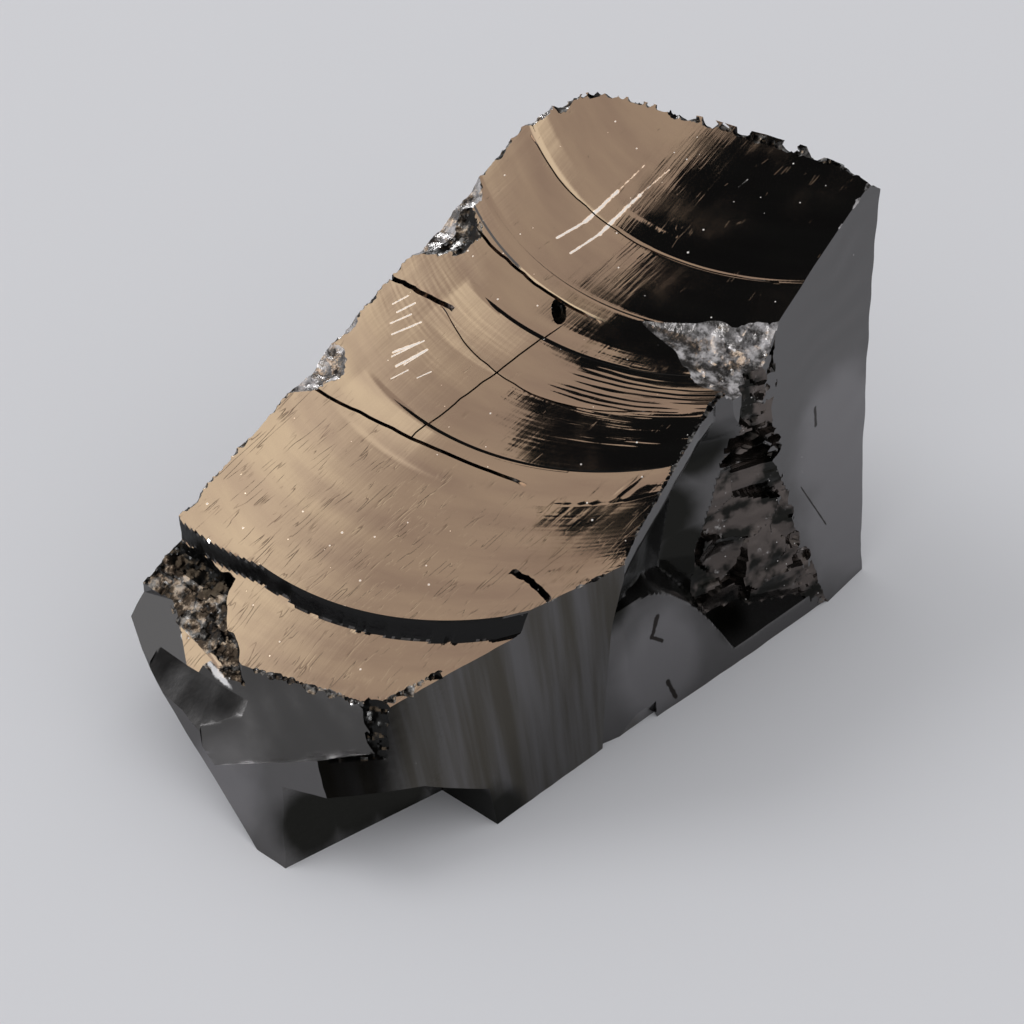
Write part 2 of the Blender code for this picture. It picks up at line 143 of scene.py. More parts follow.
# Three of them open wide over the top face: name, place, radius, depth, lean and kind of break.
WIDE_CHIPS = (("hollow_chip", 14.4, 21.3, 4.4, 1.1, 0.15, CRUSHED),
              ("crystal_chip", 19.7, 24.0, 3.6, 0.9, 0.3, SILVER),
              ("left_chip", -11.2, 22.1, 3.4, 0.8, 0.3, SILVER))

# The long side, as how far its surface stands out from the upright plane y = SIDE_Y at each x and z.
SIDE_Y = -24.5
SCOOP_EDGE = -8.3
RIM_HEIGHT = (36.5, 0.4)            # the top face's rim above x = 0, and its rise for each millimetre of x
SCOOP_RIM_X = (-8.4, -3.6, 1.4, 6.5, 11.6, 16.2, 22)
SCOOP_RIM_OUT = (3.5, 2.2, 1.3, 0.3, -0.65, -1.0, -1.5)
SCOOP_BAND = 2.2                    # the flat band under the rim, how deep the scoop goes and how fast
SCOOP_DEPTH = 4.5
SCOOP_RUN = 10
RIDGE_Z = (18, 27, 35, 43)          # the soft ridge between the scoop and the rough break
RIDGE_X = (12.6, 15.3, 17.9, 19.0)
FOOT_X = (-10, -8.2, -2.3, 7, 12, 18.6, 35.2)
FOOT_OUT = (-0.3, 0.2, 2.1, 3.0, 3.4, 4.0, 5.1)
FOOT_LEAN = 0.22
FOOT_CROWN = (18, 0.07, 1)          # the foot's top edge: its height, how it falls off, and from where
FOOT_STRIP = 2.2                    # the lowest height of that edge
FOOT_CAP = 1.3
BREAK_Z = (0, 8.6, 16.4, 25.4, 35.5, 41.1, 47.6)    # the edge between the rough break and the right wall
BREAK_X = (33.6, 31.2, 29.1, 27.7, 26.4, 27.4, 28.2)
BREAK_Z_DEPTH = (0, 20, 43)
BREAK_DEPTH = (0.5, 0.48, 0.25)     # how fast the rough break goes in from its edge
LEDGE_BAND = (31, 0.3, 22)          # the ledges' middle height, their tilt, and the x where it holds
LEDGE_PITCH = 1.9
LEDGE_HEIGHT = 0.9
FLAKE_PLACE = (17, 14)              # the lost flake: its middle in x and z, half sizes and depth
FLAKE_HALF = (4, 4.6)
FLAKE_DEPTH = 1.5

# The crushed line on the shoulder, from end to end.
CRUSHED_RIDGE = (Vector((-41.0, 17.8, 16.6)), Vector((-44.1, 5.1, 15.1)))

# The rough shoulder: where its edge runs over the top face, how high its edge is and how deep it goes.
SHOULDER_V = (-6, 0, 1.9, 4.7, 6.5, 9.8, 11.4, 12.6, 12.9, 16.5, 18.9, 21.6, 24.3, 40)
SHOULDER_U = (-70, -56, -52.5, -50.1, -48.6, -47.2, -45.4, -43.3, -40.9, -40.8, -40.3, -40.4, -39.4, -37)
SHOULDER_DEEP_V = (5, 12.6, 12.9, 18, 30)
SHOULDER_DEEP = (1.4, 1.2, 3.6, 4.4, 4.4)
SHOULDER_SLOPE = 3.2

CURTAIN_MIDDLE = Vector((-22.7, -19.6, 27.4))
CURTAIN_OUTWARD = Vector((-0.513, -0.858, 0))
CURTAIN_RIM_SLOPE = 0.34
CURTAIN_FOOT_OUT = 5.6
CURTAIN_FOOT_TURN = 0.52

# ---- the camera and the studio --------------------------------------------------------------------
CAMERA_LENS = 135
CAMERA_SENSOR = 36
CAMERA_AZIMUTH = math.radians(-49)
CAMERA_ELEVATION = math.radians(40)
CAMERA_DISTANCE = 537.6
CAMERA_TARGET = Vector((20, 15, 0))


# ---- small helpers --------------------------------------------------------------------------------
def placed(spot):
    """A place in millimetres, as metres after the shift to the part's origin."""
    return (Vector(spot) + TO_ORIGIN) * MM


def mesh_of(name, bm):
    """A new mesh with what a bmesh holds. The bmesh is freed."""
    mesh = bpy.data.meshes.new(name)
    bm.to_mesh(mesh)
    bm.free()
    return mesh


def add_object(name, data):
    """A new object in the scene."""
    made = bpy.data.objects.new(name, data)
    bpy.context.scene.collection.objects.link(made)
    return made


# ---- noise that is the same in each run -----------------------------------------------------------
def lattice(column, row, seed):
    """A number from 0 to 1 for each point of a whole-number grid."""
    mixed = (column * 374761393 + row * 668265263 + seed * 2246822519) & 0xFFFFFFFF
    mixed = ((mixed ^ (mixed >> 13)) * 1274126177) & 0xFFFFFFFF
    return ((mixed ^ (mixed >> 16)) & 0xFFFF) / 65535


def noise(x, y, seed):
    """Smooth noise from -1 to 1, one bump for each unit of x and y."""
    column, row = np.floor(x).astype(np.int64), np.floor(y).astype(np.int64)
    fx, fy = x - column, y - row
    fx, fy = fx * fx * (3 - 2 * fx), fy * fy * (3 - 2 * fy)
    low = lattice(column, row, seed) * (1 - fx) + lattice(column + 1, row, seed) * fx
    high = lattice(column, row + 1, seed) * (1 - fx) + lattice(column + 1, row + 1, seed) * fx
    return 2 * (low * (1 - fy) + high * fy) - 1


# ---- reliefs: how far a face stands out from its plane at (s, t), in millimetres -------------------
def flat(s, t):
    """A plane face."""
    return 0 * s


def hollow(depth, half_width, half_height, s0=0, t0=0):
    """A conchoidal hollow, `depth` deep in the middle and level with the plane at its half sizes."""
    def relief(s, t):
        spread = ((s - s0) / half_width) ** 2 + ((t - t0) / half_height) ** 2
        return np.minimum(depth * (spread - 1), HOLLOW_RIM)
    return relief


def shards(base, size, tilt, seed):
    """Breaks a relief into splinters: each cell of about `size` is its own small tilted plane."""
    def relief(s, t):
        columns, rows = np.floor(s / size).astype(int), np.floor(t / size).astype(int)
        table = {}
        best = np.full(s.shape, 9.0)
        lift = np.zeros(s.shape)
        for i in (-1, 0, 1):
            for j in (-1, 0, 1):
                keys = zip((columns + i).ravel().tolist(), (rows + j).ravel().tolist())
                cells = np.array([table.get(key) or table.setdefault(key, shard_cell(*key, seed))
                                  for key in keys]).reshape(s.shape + (5,))
                dx, dy = s / size - cells[..., 0], t / size - cells[..., 1]
                near = dx * dx + dy * dy < best
                best = np.where(near, dx * dx + dy * dy, best)
                lift = np.where(near, cells[..., 2] * dx + cells[..., 3] * dy + cells[..., 4], lift)
        return base(s, t) + tilt * size * lift
    return relief


def shard_cell(column, row, seed):
    """The middle of one shard in a jittered grid, its lean two ways, and its lift."""
    chance = random.Random(f"{seed} {column} {row}")
    return (column + chance.random(), row + chance.random(),
            chance.uniform(-1, 1), chance.uniform(-1, 1), chance.uniform(-0.3, 0.3))


def turned_away(s, t):
    """A face that is plane to the left and curves outward to the right."""
    return CHEEK_TURN[1] * np.maximum(s - CHEEK_TURN[0], 0) ** 2


def lens_bank(s, t):
    """A plane face that ends at a steep bank on its right."""
    return LENS_BANK[1] * np.maximum(s - LENS_BANK[0], 0)


def tapered_groove(s, t):
    """A groove that is wide and deep at its start, and runs out."""
    width = np.interp(s, (-5, 3), FRONT_GROOVE_HALF)
    depth = np.interp(s, (-3, 3), FRONT_GROOVE_DEPTH)
    return np.minimum(depth * ((t / width) ** 2 - 1), 3)


def twist(s, t):
    """The curtain's face: it keeps to its rim above, and leans out more and more to the left below."""
    rim = CURTAIN_RIM_SLOPE * s
    share = np.maximum(rim - t, 0) / (CURTAIN_MIDDLE.z + rim)
    return (CURTAIN_FOOT_OUT - CURTAIN_FOOT_TURN * s) * share


def waves(base, s0, t0, length, height, seed):
    """Adds the rounded waves that a crack leaves as it spreads from the point (s0, t0)."""
    def relief(s, t):
        distance = np.hypot(s - s0, t - t0) / length
        strength = 0.6 + 0.4 * noise(s / 7, t / 7, seed)
        return base(s, t) + height * strength * np.sin(2 * np.pi * (distance + noise(s / 9, t / 9, seed)))
    return relief


def grain(base, width, length, height, seed):
    """Adds fine unevenness, `width` across s and `length` along t."""
    def relief(s, t):
        return base(s, t) + height * noise(s / width, t / length, seed)
    return relief


# ---- the top face ---------------------------------------------------------------------------------
def arc_place(along, across):
    """A place on the top face: `along` says which ripple arc it is on, `across` how far up the arc."""
    share = np.clip((along - BENCH_STEP_FOOT) / (ARC_LAST - BENCH_STEP_FOOT), 0, 1)
    middle = ARC_MIDDLE_LEFT + share * (ARC_MIDDLE_RIGHT - ARC_MIDDLE_LEFT)
    angle = across / ARC_RADIUS
    return along + ARC_RADIUS * (1 - np.cos(angle)), middle + ARC_RADIUS * np.sin(angle)


def top_relief(along, across):
    """Steps of the top face, and the ripples that follow its arcs."""
    height = -BENCH_DROP * step_fall(along, across)
    for place, ledge, rise, run in ARC_STEPS:
        here = 1 - np.clip(across / FADE_RUN, 0, 1) * (place < FADE_END)
        height = height + here * ledge * np.clip((along - place) / LEDGE_RUN, 0, 1)
        height = height + here * rise * np.clip((along - place) / run, 0, 1)
    return height + ripples(along, across)


def step_fall(along, across):
    """How far down the step to the front bench a place is: 0 above it and 1 at its foot."""
    bend = BENCH_STEP_BEND * np.maximum(across - 2.5, 0)
    run = STEP_RUN_LEFT + STEP_RUN_TURN * np.maximum(-across, 0)
    teeth = STEP_TEETH * noise(across / 0.7, 0 * along, 61) * (across < 2)
    return np.clip((BENCH_STEP_TOP - bend - along) / (run + teeth), 0, 1)


def top_skin(along, across):
    """The kind of break at a place of the top face: torn on the step, with its glass painted dark as shade,
    glassy elsewhere.
    """
    fall = step_fall(along, across)
    return np.where((fall > 0.02) & (fall < 0.98), HACKLED_SHADE, GLASSY)


def ripples(along, across):
    """The broad ripples, strong in the middle band, and the torn waves at the front of each block."""
    band = np.exp(-((along - RIPPLE_BAND[0]) / RIPPLE_BAND[1]) ** 2)
    broad = noise(along / 2.6, across / 26, 7)
    torn = np.exp(-((along - TORN_PLACE[0]) / TORN_SPREAD[0]) ** 2
                  - ((across - TORN_PLACE[1]) / TORN_SPREAD[1]) ** 2)
    comb = noise(across / 0.9 + 0.4 * noise(along / 2, across / 3, 63), along / 5, 64)
    hairs = noise(across / 1.3, along / 9, 65)
    return RIPPLE_HEIGHT * (0.3 + band) * broad + TORN_HEIGHT * torn * comb + HAIR_HEIGHT * hairs


# ---- the long side and the shoulder ---------------------------------------------------------------
def right_wall_out(x, z):
    """How far the plane of the smooth right wall stands out from the side's upright plane."""
    a, b, c = TOP_RIGHT_FRONT, SIDE_NOTCH, BASE_SIDE
    normal = (b - a).cross(c - a)
    return SIDE_Y - a.y + (normal.x * (x - a.x) + normal.z * (z - a.z)) / normal.y


def scoop_out(x, z):
    """The scoop: level with the rim above, then hollowed out, and open to the right."""
    down = RIM_HEIGHT[0] + RIM_HEIGHT[1] * x - z
    share = np.clip((down - SCOOP_BAND) / SCOOP_RUN, 0, 1)
    into = SCOOP_DEPTH * share * share * (3 - 2 * share)
    right = np.maximum(x - np.interp(z, RIDGE_Z, RIDGE_X) + SCOOP_DEPTH - 1, 0)
    return np.interp(x, SCOOP_RIM_X, SCOOP_RIM_OUT) - into + right + 0.05 * noise(x / 3, z / 7, 14)


def foot_out(x, z):
    """The face below the scoop, with its rounded top edge, and the narrow strip to the right of it."""
    height, fall, start = FOOT_CROWN
    top = np.maximum(height - fall * np.maximum(x - start, 0) ** 2, FOOT_STRIP)
    lean = FOOT_LEAN * z + FOOT_CAP * np.maximum(z - top, 0)
    return np.interp(x, FOOT_X, FOOT_OUT) - lean + 0.04 * noise(x / 2.5, z / 6, 15)


def break_out(x, z):
    """The rough break: large smooth facets, ledges across its middle, and splinters at its edge."""
    edge = np.interp(z, BREAK_Z, BREAK_X) + 0.5 * noise(z / 1.7, 0 * z, 21)
    inside = edge - x
    depth = np.interp(z, BREAK_Z_DEPTH, BREAK_DEPTH) * np.maximum(inside, 0) - 3 * np.maximum(-inside, 0)
    facets = shards(flat, 7.5, 0.2, 5)(x, z)
    off = np.abs(z - LEDGE_BAND[0] + LEDGE_BAND[1] * (x - LEDGE_BAND[2]))
    ledges = LEDGE_HEIGHT * np.clip(1.5 - off / 3, 0, 1) * ((z / LEDGE_PITCH) % 1 - 0.5)
    torn = np.clip(1.2 - inside / 3.5, 0, 1) + np.clip((z - 34) / 6, 0, 1) + 0.12
    splinters = torn * shards(flat, 1.8, 0.35, 25)(x, z)
    left = 2 * np.maximum(np.interp(z, RIDGE_Z, RIDGE_X) + 1 - x, 0)
    off = ((x - FLAKE_PLACE[0]) / FLAKE_HALF[0]) ** 2 + ((z - FLAKE_PLACE[1]) / FLAKE_HALF[1]) ** 2
    flake = FLAKE_DEPTH * np.clip(1 - off, 0, 1)
    return right_wall_out(x, z) - depth + left + facets + ledges + np.where(inside > 0, splinters, 0) - flake


def side_relief(x, z):
    """The scoop, the foot below it, and the rough break to the right of them, as one surface."""
    left = 5 * np.maximum(SCOOP_EDGE - x, 0)
    return np.maximum(np.minimum(scoop_out(x, z), break_out(x, z)), foot_out(x, z)) + left


def side_skin(x, z):
    """The kind of break at a place of the side: rough between the scoop and the foot."""
    broken = break_out(x, z)
    return np.where((broken < scoop_out(x, z)) & (broken > foot_out(x, z)), ROUGH, WALL)


def shoulder_place(u, v):
    """How far inside the shoulder's edge a place is, how high that edge is, and the depth behind it."""
    inside = np.interp(v, SHOULDER_V, SHOULDER_U) + 0.35 * noise(v / 1.1, 0 * v, 33) - u
    return inside, np.interp(v, (12.6, 12.9), (-BENCH_DROP, 0)), np.interp(v, SHOULDER_DEEP_V, SHOULDER_DEEP)


def shoulder_relief(u, v):
    """The shoulder: a steep bank down from its edge, and rubble at the foot of it."""
    inside, edge, deep = shoulder_place(u, v)
    down = np.minimum(SHOULDER_SLOPE * np.maximum(inside, 0), deep)
    rough = shards(shards(flat, 3.2, 0.2, 2), 1.1, 0.2, 26)(u, v)
    return edge - down + 3 * np.maximum(-inside, 0) + rough * np.clip(down / deep * 1.5 - 0.6, 0, 1)


def shoulder_skin(u, v):
    """The kind of break on the shoulder: dark near the edge, crushed further in."""
    inside, edge, deep = shoulder_place(u, v)
    dark = inside + 1.2 * noise(u / 2.2, v / 2.2, 34) < 3.6
    return np.where(((SHOULDER_SLOPE * inside < 0.9 * deep) | dark) & (edge > -0.1), HACKLED_SHADE, CRUSHED)


def flute_relief(u, v):
    """A fluted hollow that widens and deepens from its tip on the top face to the rim."""
    run = np.maximum(FLUTE_TIP[1] - v, 0.01)
    place = (u - FLUTE_TIP[0] - FLUTE_TURN * run) / (FLUTE_SPREAD * run) + 0.22 * noise(u / 2.4, v / 2.4, 29)
    folds = 0.25 * noise(3 * place, run / 25, 27) * np.clip(run / 8, 0, 1)
    crystals = np.clip((run - 8) / 4, 0, 1) * shards(flat, 1.5, 0.35, 28)(u, v)
    return FLUTE_DEPTH * run * (place ** 2 - 1) + folds + crystals + 2 * np.maximum(v - FLUTE_TIP[1], 0)


# ---- cutters --------------------------------------------------------------------------------------
def lines(whole, used, step, coarse=8):
    """Grid lines over the range `whole`, `step` apart over the part of it that is `used`."""
    inner = np.linspace(*used, max(round((used[1] - used[0]) / step), 1) + 1)
    below = np.linspace(whole[0], used[0], max(round((used[0] - whole[0]) / coarse), 1) + 1)[:-1]
    above = np.linspace(used[1], whole[1], max(round((whole[1] - used[1]) / coarse), 1) + 1)[1:]
    return np.concatenate((below[below < used[0]], inner, above[above > used[1]]))


def face_turn(outward, along):
    """The rotation that lays a face's s along `along` and points its normal along `outward`."""
    z = outward.normalized()
    x = (along - z * z.dot(along)).normalized()
    return Matrix((x, z.cross(x), z)).transposed()


def slab(front, reach):
    """The faces and points of a closed slab: a grid of points in front, and a flat back at `reach`."""
    rows, columns = front.shape[:2]
    index = np.arange(rows * columns).reshape(rows, columns)
    rim = np.concatenate((index[0, :-1], index[:-1, -1], index[-1, :0:-1], index[:0:-1, 0]))
    back = front.reshape(-1, 3)[rim].copy()
    back[:, 2] = reach
    back_index = np.arange(len(rim)) + rows * columns
    quads = np.stack((index[:-1, :-1], index[1:, :-1], index[1:, 1:], index[:-1, 1:]), -1).reshape(-1, 4)
    sides = np.stack((rim, np.roll(rim, -1), np.roll(back_index, -1), back_index), -1)
    points = np.concatenate((front.reshape(-1, 3), back))
    return points, quads.tolist() + sides.tolist() + [back_index.tolist()]


def scar(name, middle, outward, across=(WIDE, WIDE, 190), up=(WIDE, WIDE, 190), relief=flat,
         place=None, along=Vector((1, 0, 0)), reach=REACH, skin=WALL):
    """One fracture face, as a closed slab that reaches outward from it."""
    t, s = np.meshgrid(lines(*up), lines(*across), indexing="ij")
    u, v = place(s, t) if place else (s, t)
    points, faces = slab(np.stack((u, v, np.minimum(relief(s, t), reach - 1)), -1), reach)
    skins = skin((s[:-1, :-1] + s[1:, 1:]) / 2, (t[:-1, :-1] + t[1:, 1:]) / 2) if callable(skin) else skin
    skins = np.broadcast_to(skins, (len(t) - 1, s.shape[1] - 1)).ravel().tolist()
    turn = np.array(face_turn(outward, along))
    points = (points @ turn.T + np.array(middle + TO_ORIGIN)) * MM
    return cutter(name, points, faces, skins)


def cutter(name, points, faces, skins):
    """An object from points and faces. The first faces have their own kinds of break."""
    mesh = bpy.data.meshes.new(name)
    mesh.from_pydata(points.tolist(), [], faces)
    mesh.polygons.foreach_set("material_index", skins + [WALL] * (len(faces) - len(skins)))
    bm = bmesh.new()
    bm.from_mesh(mesh)
    bmesh.ops.recalc_face_normals(bm, faces=bm.faces)
    bm.to_mesh(mesh)
    bm.free()
    return add_object(name, mesh)


def scar_through(name, a, b, c, **shape):
    """A fracture face that passes through three corners of the stone."""
    outward = (b - a).cross(c - a)
    middle = (a + b + c) / 3
    if outward.dot(middle - HEART) < 0:
        outward = -outward
    return scar(name, middle, outward, **shape)


def wedge(name, corners):
    """A cutter that is the smallest convex body around its corners."""
    bm = bmesh.new()
    for corner in corners:
        bm.verts.new(placed(corner))
    bmesh.ops.convex_hull(bm, input=bm.verts[:])
    bmesh.ops.recalc_face_normals(bm, faces=bm.faces)
    mesh = mesh_of(name, bm)
    mesh.polygons.foreach_set("material_index", [WALL] * len(mesh.polygons))
    return add_object(name, mesh)


def on_top(u, v, lift=0):
    """The place of a point of the top face, or `lift` above it, before the shift to the origin."""
    return TOP_MIDDLE + face_turn(TOP_OUTWARD, Vector((1, 0, 0))) @ Vector((u, v, lift))


def crack(name, start, end, bow, width, depth):
    """A narrow V-shaped gap in the top face, from one point to another along a bowed line."""
    start, end = Vector(start), Vector(end)
    side = (end - start).orthogonal().normalized()

    def place(s, t):
        wander = s + bow * 4 * t * (1 - t) + 0.12 * noise(t * 22, 0 * t, 31)
        return (start.x + (end.x - start.x) * t + side.x * wander,
                start.y + (end.y - start.y) * t + side.y * wander)

    def relief(s, t):
        fade = np.minimum(np.minimum(6 * t, 6 - 6 * t), 1)
        return -depth * (1 - np.abs(s) / width) * fade * (0.75 + 0.25 * noise(t * 30, 0 * t, 32))

    wide = (-width, width)
    return scar(name, TOP_MIDDLE, TOP_OUTWARD, across=(wide, wide, width), up=((0, 1), (0, 1), 0.02),
                relief=relief, place=place, reach=4, skin=ROUGH)


def chip(name, u, v, radius, depth, lean=1.0, skin=SILVER):
    """A conchoidal chip out of the top face's back rim, leaning back more or less."""
    wide = (-1.5 * radius, 1.5 * radius)
    relief = shards(shards(hollow(depth, radius, radius), 2.4, 0.2, 7), 0.9, 0.2, 8)
    return scar(name, on_top(u, v), TOP_OUTWARD.lerp(RIM_CHIP_OUTWARD, lean), across=(wide, wide, 0.35),
                up=(wide, wide, 0.35), reach=12, relief=relief, skin=skin)


def rim_chips(name, path, spacing, size, side, skin):
    """Many small chips along a rim of the top face, in three cutters so that no two of one touch."""
    chance = random.Random(name)
    spots = []
    for start, end in zip(path, path[1:]):
        start, end = on_top(*start), on_top(*end)
        count = max(round((end - start).length / spacing), 1)
        spots += [start.lerp(end, (k + chance.uniform(0.2, 0.8)) / count) for k in range(count)]
    pieces = []
    for turn in range(3):
        points, faces = [], []
        for spot in spots[turn::3]:
            radius = size * (0.3 + 0.9 * chance.random() ** 3)
            lean = Vector([chance.uniform(-0.5, 0.5) for _ in range(3)])
            rotation = face_turn(TOP_OUTWARD + side * chance.uniform(0.4, 1.6) + lean, lean)
            span = np.linspace(-1.3 * radius, 1.3 * radius, 7)
            t, s = np.meshgrid(span, span * chance.uniform(0.7, 1.6), indexing="ij")
            height = shards(hollow(0.3 * radius, radius, radius), 0.8 * radius, 0.3, name)(s, t)
            made, sheet = slab(np.stack((s, t, height), -1), 2.5 * radius)
            sheet = [[corner + len(points) for corner in face] for face in sheet]
            points += ((made @ np.array(rotation).T + np.array(spot + TO_ORIGIN)) * MM).tolist()
            faces += sheet
        pieces.append(cutter(f"{name}_{turn}", np.array(points), faces, [skin] * len(faces)))
    return pieces


# ---- the faces of this stone ----------------------------------------------------------------------
def long_faces():
    """The faces that bound the block: top, right end, back, and the smooth wall at the right."""
    used = (-45, 45)
    return [
        scar("top", TOP_MIDDLE, TOP_OUTWARD, across=((-95, 60), (-52, 50), 0.3),
             up=((-58, 50), (-32, 28), 0.42), relief=top_relief, place=arc_place, skin=top_skin),
        scar_through("right_end", TOP_RIGHT_FRONT, TOP_RIGHT_BACK, BASE_RIGHT, across=(WIDE, used, 1.2),
                     up=(WIDE, used, 1.2),
                     relief=waves(waves(flat, 25, -30, 17, 0.2, 3), -20, 30, 6, 0.12, 4)),
        scar("back", TOP_LEFT_BACK, BACK_OUTWARD, across=(WIDE, (-25, 75), 1.2),
             up=(WIDE, (-26, 32), 1.2), relief=waves(waves(flat, -20, 40, 19, 0.3, 8), 30, 40, 7, 0.14, 9)),
        scar("back_corner", (TOP_BACK_CORNER + TOP_RIGHT_BACK) / 2, BACK_CORNER_OUTWARD,
             across=(WIDE, (-12, 12), 1), up=(WIDE, (-56, 6), 1), relief=waves(flat, 0, 20, 12, 0.15, 1)),
        scar_through("right_wall", TOP_RIGHT_FRONT, SIDE_NOTCH, BASE_SIDE, across=(WIDE, (-30, 20), 0.8),
                     up=(WIDE, (-40, 30), 0.8), relief=waves(hollow(0.8, 30, 30), 10, 40, 5, 0.03, 12)),
    ]


def side_faces():
    """The scoop, its foot and the rough break in the long side."""
    return [scar("side", Vector((0, SIDE_Y, 0)), Vector((0, -1, 0)), across=((-14, 46), (-11, 36), 0.33),
                 up=((-6, 62), (-2, 50), 0.33), relief=side_relief, reach=20, skin=side_skin)]


def front_faces():
    """The curtain wall, the front end's facets and the foot."""
    folds = grain(grain(twist, 1.7, 60, 0.05, 41), 0.6, 30, 0.012, 42)
    return [
        scar("curtain", CURTAIN_MIDDLE, CURTAIN_OUTWARD, across=((-34, 24), (-22, 20), 0.3),
             up=((-45, 45), (-28, 12), 1.5), relief=folds, skin=CURTAIN),
        scar_through("front", FRONT_TIP, BENCH_LEFT, FRONT_LEDGE, along=FRONT_LEDGE_LINE,
                     across=((-16, 16), (-14, 14), 0.5), up=((-5.7, 26), (-5.7, 12), 0.5),
                     relief=waves(flat, 12, 8, 3.5, 0.025, 51)),
        scar_through("cheek", RIDGE_TOP, RIDGE_END, LEFT_CHEEK, along=Vector((0, -1, 0)),
                     across=((-15, 20), (-15, 20), 0.8), up=((-9, 20), (-9, 6), 0.8), relief=turned_away),
        scar("groove", GROOVE_MIDDLE, GROOVE_OUTWARD, along=RIDGE_END - RIDGE_TOP,
             across=((-12, 12), (-12, 12), 0.6), up=((-6, 6), (-6, 6), 0.4),
             relief=hollow(1.8, 9, 2.6), reach=16),
        scar("shoulder", TOP_MIDDLE, TOP_OUTWARD, across=((-75, -33), (-60, -36), 0.25),
             up=((-6, 40), (-3, 28), 0.25), relief=shoulder_relief, reach=30, skin=shoulder_skin),
        scar("ledge_facet", TAN_LEDGE, TOP_OUTWARD, along=RIDGE_END - RIDGE_TOP,
             across=((-4.5, 3.5), (-4.5, 3.5), 1), up=((-6, 0.9), (-6, 0.9), 1), reach=6, skin=GLASSY),
        scar("dark_facet", DARK_FACET_MIDDLE, DARK_FACET_OUTWARD, along=Vector((0, -1, 0)),
             across=((-11, 5), (-11, 5), 0.5), up=((-3, 6), (-3, 6), 0.5), reach=12,
             relief=grain(flat, 4, 4, 0.12, 55)),
        scar("front_groove", FRONT_GROOVE_MIDDLE, FRONT_GROOVE_OUTWARD, along=FRONT_GROOVE_ALONG,
             across=((-6, 3.5), (-6, 3.5), 0.3), up=((-5, 5), (-5, 5), 0.3), reach=8,
             relief=shards(tapered_groove, 1.1, 0.35, 56), skin=HACKLED_SHADE),
        scar_through("foot_front", FOOT_SHOULDER, FOOT_TIP, FOOT_LEFT,
                     across=(WIDE, (-16, 16), 0.6), up=(WIDE, (-16, 16), 0.6),
                     relief=grain(waves(flat, 10, 10, 4, 0.05, 52), 3, 6, 0.15, 62)),
        scar("left_end", LEFT_CHEEK, LEFT_END_OUTWARD, across=(WIDE, (-20, 20), 0.6),
             up=(WIDE, (-20, 20), 0.6), relief=shards(waves(flat, 10, 10, 6, 0.08, 53), 5, 0.08, 58)),
        scar("lens", LENS_MIDDLE, LENS_OUTWARD, across=((-30, 10), (-12, 10), 0.6),
             up=((-30, 30), (-12, 12), 1), relief=lens_bank),
        scar_through("underside_left", FOOT_LEFT, UNDERSIDE_FRONT, BASE_BACK_LEFT),
        wedge("undercut", UNDERCUT),
    ]


def top_marks():
    """The flute at the rim, the cracks, and the chips along the back rim and the right corner."""
    marks = [
        scar("flute", TOP_MIDDLE, TOP_OUTWARD, across=((4, 36), (9, 28), 0.3),
             up=((-42, -4), (-33, -9), 0.3), relief=flute_relief, reach=16, skin=SILVER),
        scar("corner_chip", CORNER_CHIP_MIDDLE, CORNER_CHIP_OUTWARD, across=((-8, 14), (-8, 14), 0.5),
             up=((-6, 8), (-6, 8), 0.5), relief=shards(flat, 3, 0.2, 4), reach=16, skin=ROUGH),
    ]
    marks += [chip(*row) for row in WIDE_CHIPS]
    marks.append(scar("pit", on_top(*PIT_MIDDLE), TOP_OUTWARD, along=PIT_ALONG,
                      across=((-3, 3), (-3, 3), 0.3), up=((-2, 2), (-2, 2), 0.3),
                      relief=shards(hollow(1.2, 2.1, 1.0), 1.3, 0.3, 61), reach=4, skin=HACKLED_SHADE))
    marks += [crack(f"crack_{number}", *row) for number, row in enumerate(CRACKS, 1)]
    return marks + [chip(f"rim_chip_{number}", *row) for number, row in enumerate(BACK_RIM_CHIPS, 1)]


# The rims of the top face, in u and v.
LEFT_RIM = ((-38.5, 24.1), (-20, 24.1), (0, 24), (20, 24), (36.8, 23.9))
RIGHT_RIM = ((36.8, 23.9), (43, 17.6), (49.6, -23.7))
NEAR_RIM = ((49.6, -23.7), (42, -24.5), (30, -26))
SCOOP_RIM = ((12.1, -26.1), (7.1, -26.6), (1.6, -27.6), (-3.9, -28.6), (-9.3, -29.6), (-14.4, -30.9))
CURTAIN_RIM = ((-16.8, -29.8), (-22.6, -27.1), (-29.8, -23.1), (-36, -20.4))
# The bench's two edges, with their depth below the top face.
BENCH_RIM = ((-37.7, -19.2, -BENCH_DROP), (-46.2, -15.0, -BENCH_DROP))
FRONT_RIM = ((-46.2, -15.0, -BENCH_DROP), (-50.3, 1.9, -BENCH_DROP))
BACK_SIDE = Vector((0, 1, 0))
RIGHT_SIDE = Vector((1, -0.3, 0))
NEAR_SIDE = Vector((-0.2, -1, 0))
FRONT_SIDE = Vector((-1, -0.2, 0))
# The chipped rims: name, path, spacing, size, the side they face and the kind of break.
RIMS = (("back_rim", LEFT_RIM, 1.0, 1.1, BACK_SIDE, CRUSHED),
        ("right_rim", RIGHT_RIM, 1.1, 1.0, RIGHT_SIDE, CRUSHED),
        ("near_rim", NEAR_RIM, 0.7, 0.8, NEAR_SIDE, SILVER),
        ("scoop_rim", SCOOP_RIM, 0.5, 0.5, NEAR_SIDE, CRUSHED),
        ("curtain_rim", CURTAIN_RIM, 0.6, 0.6, NEAR_SIDE, CRUSHED),
        ("bench_rim", BENCH_RIM, 0.6, 0.7, NEAR_SIDE, CRUSHED),
        ("front_rim", FRONT_RIM, 0.6, 0.8, FRONT_SIDE, CRUSHED))


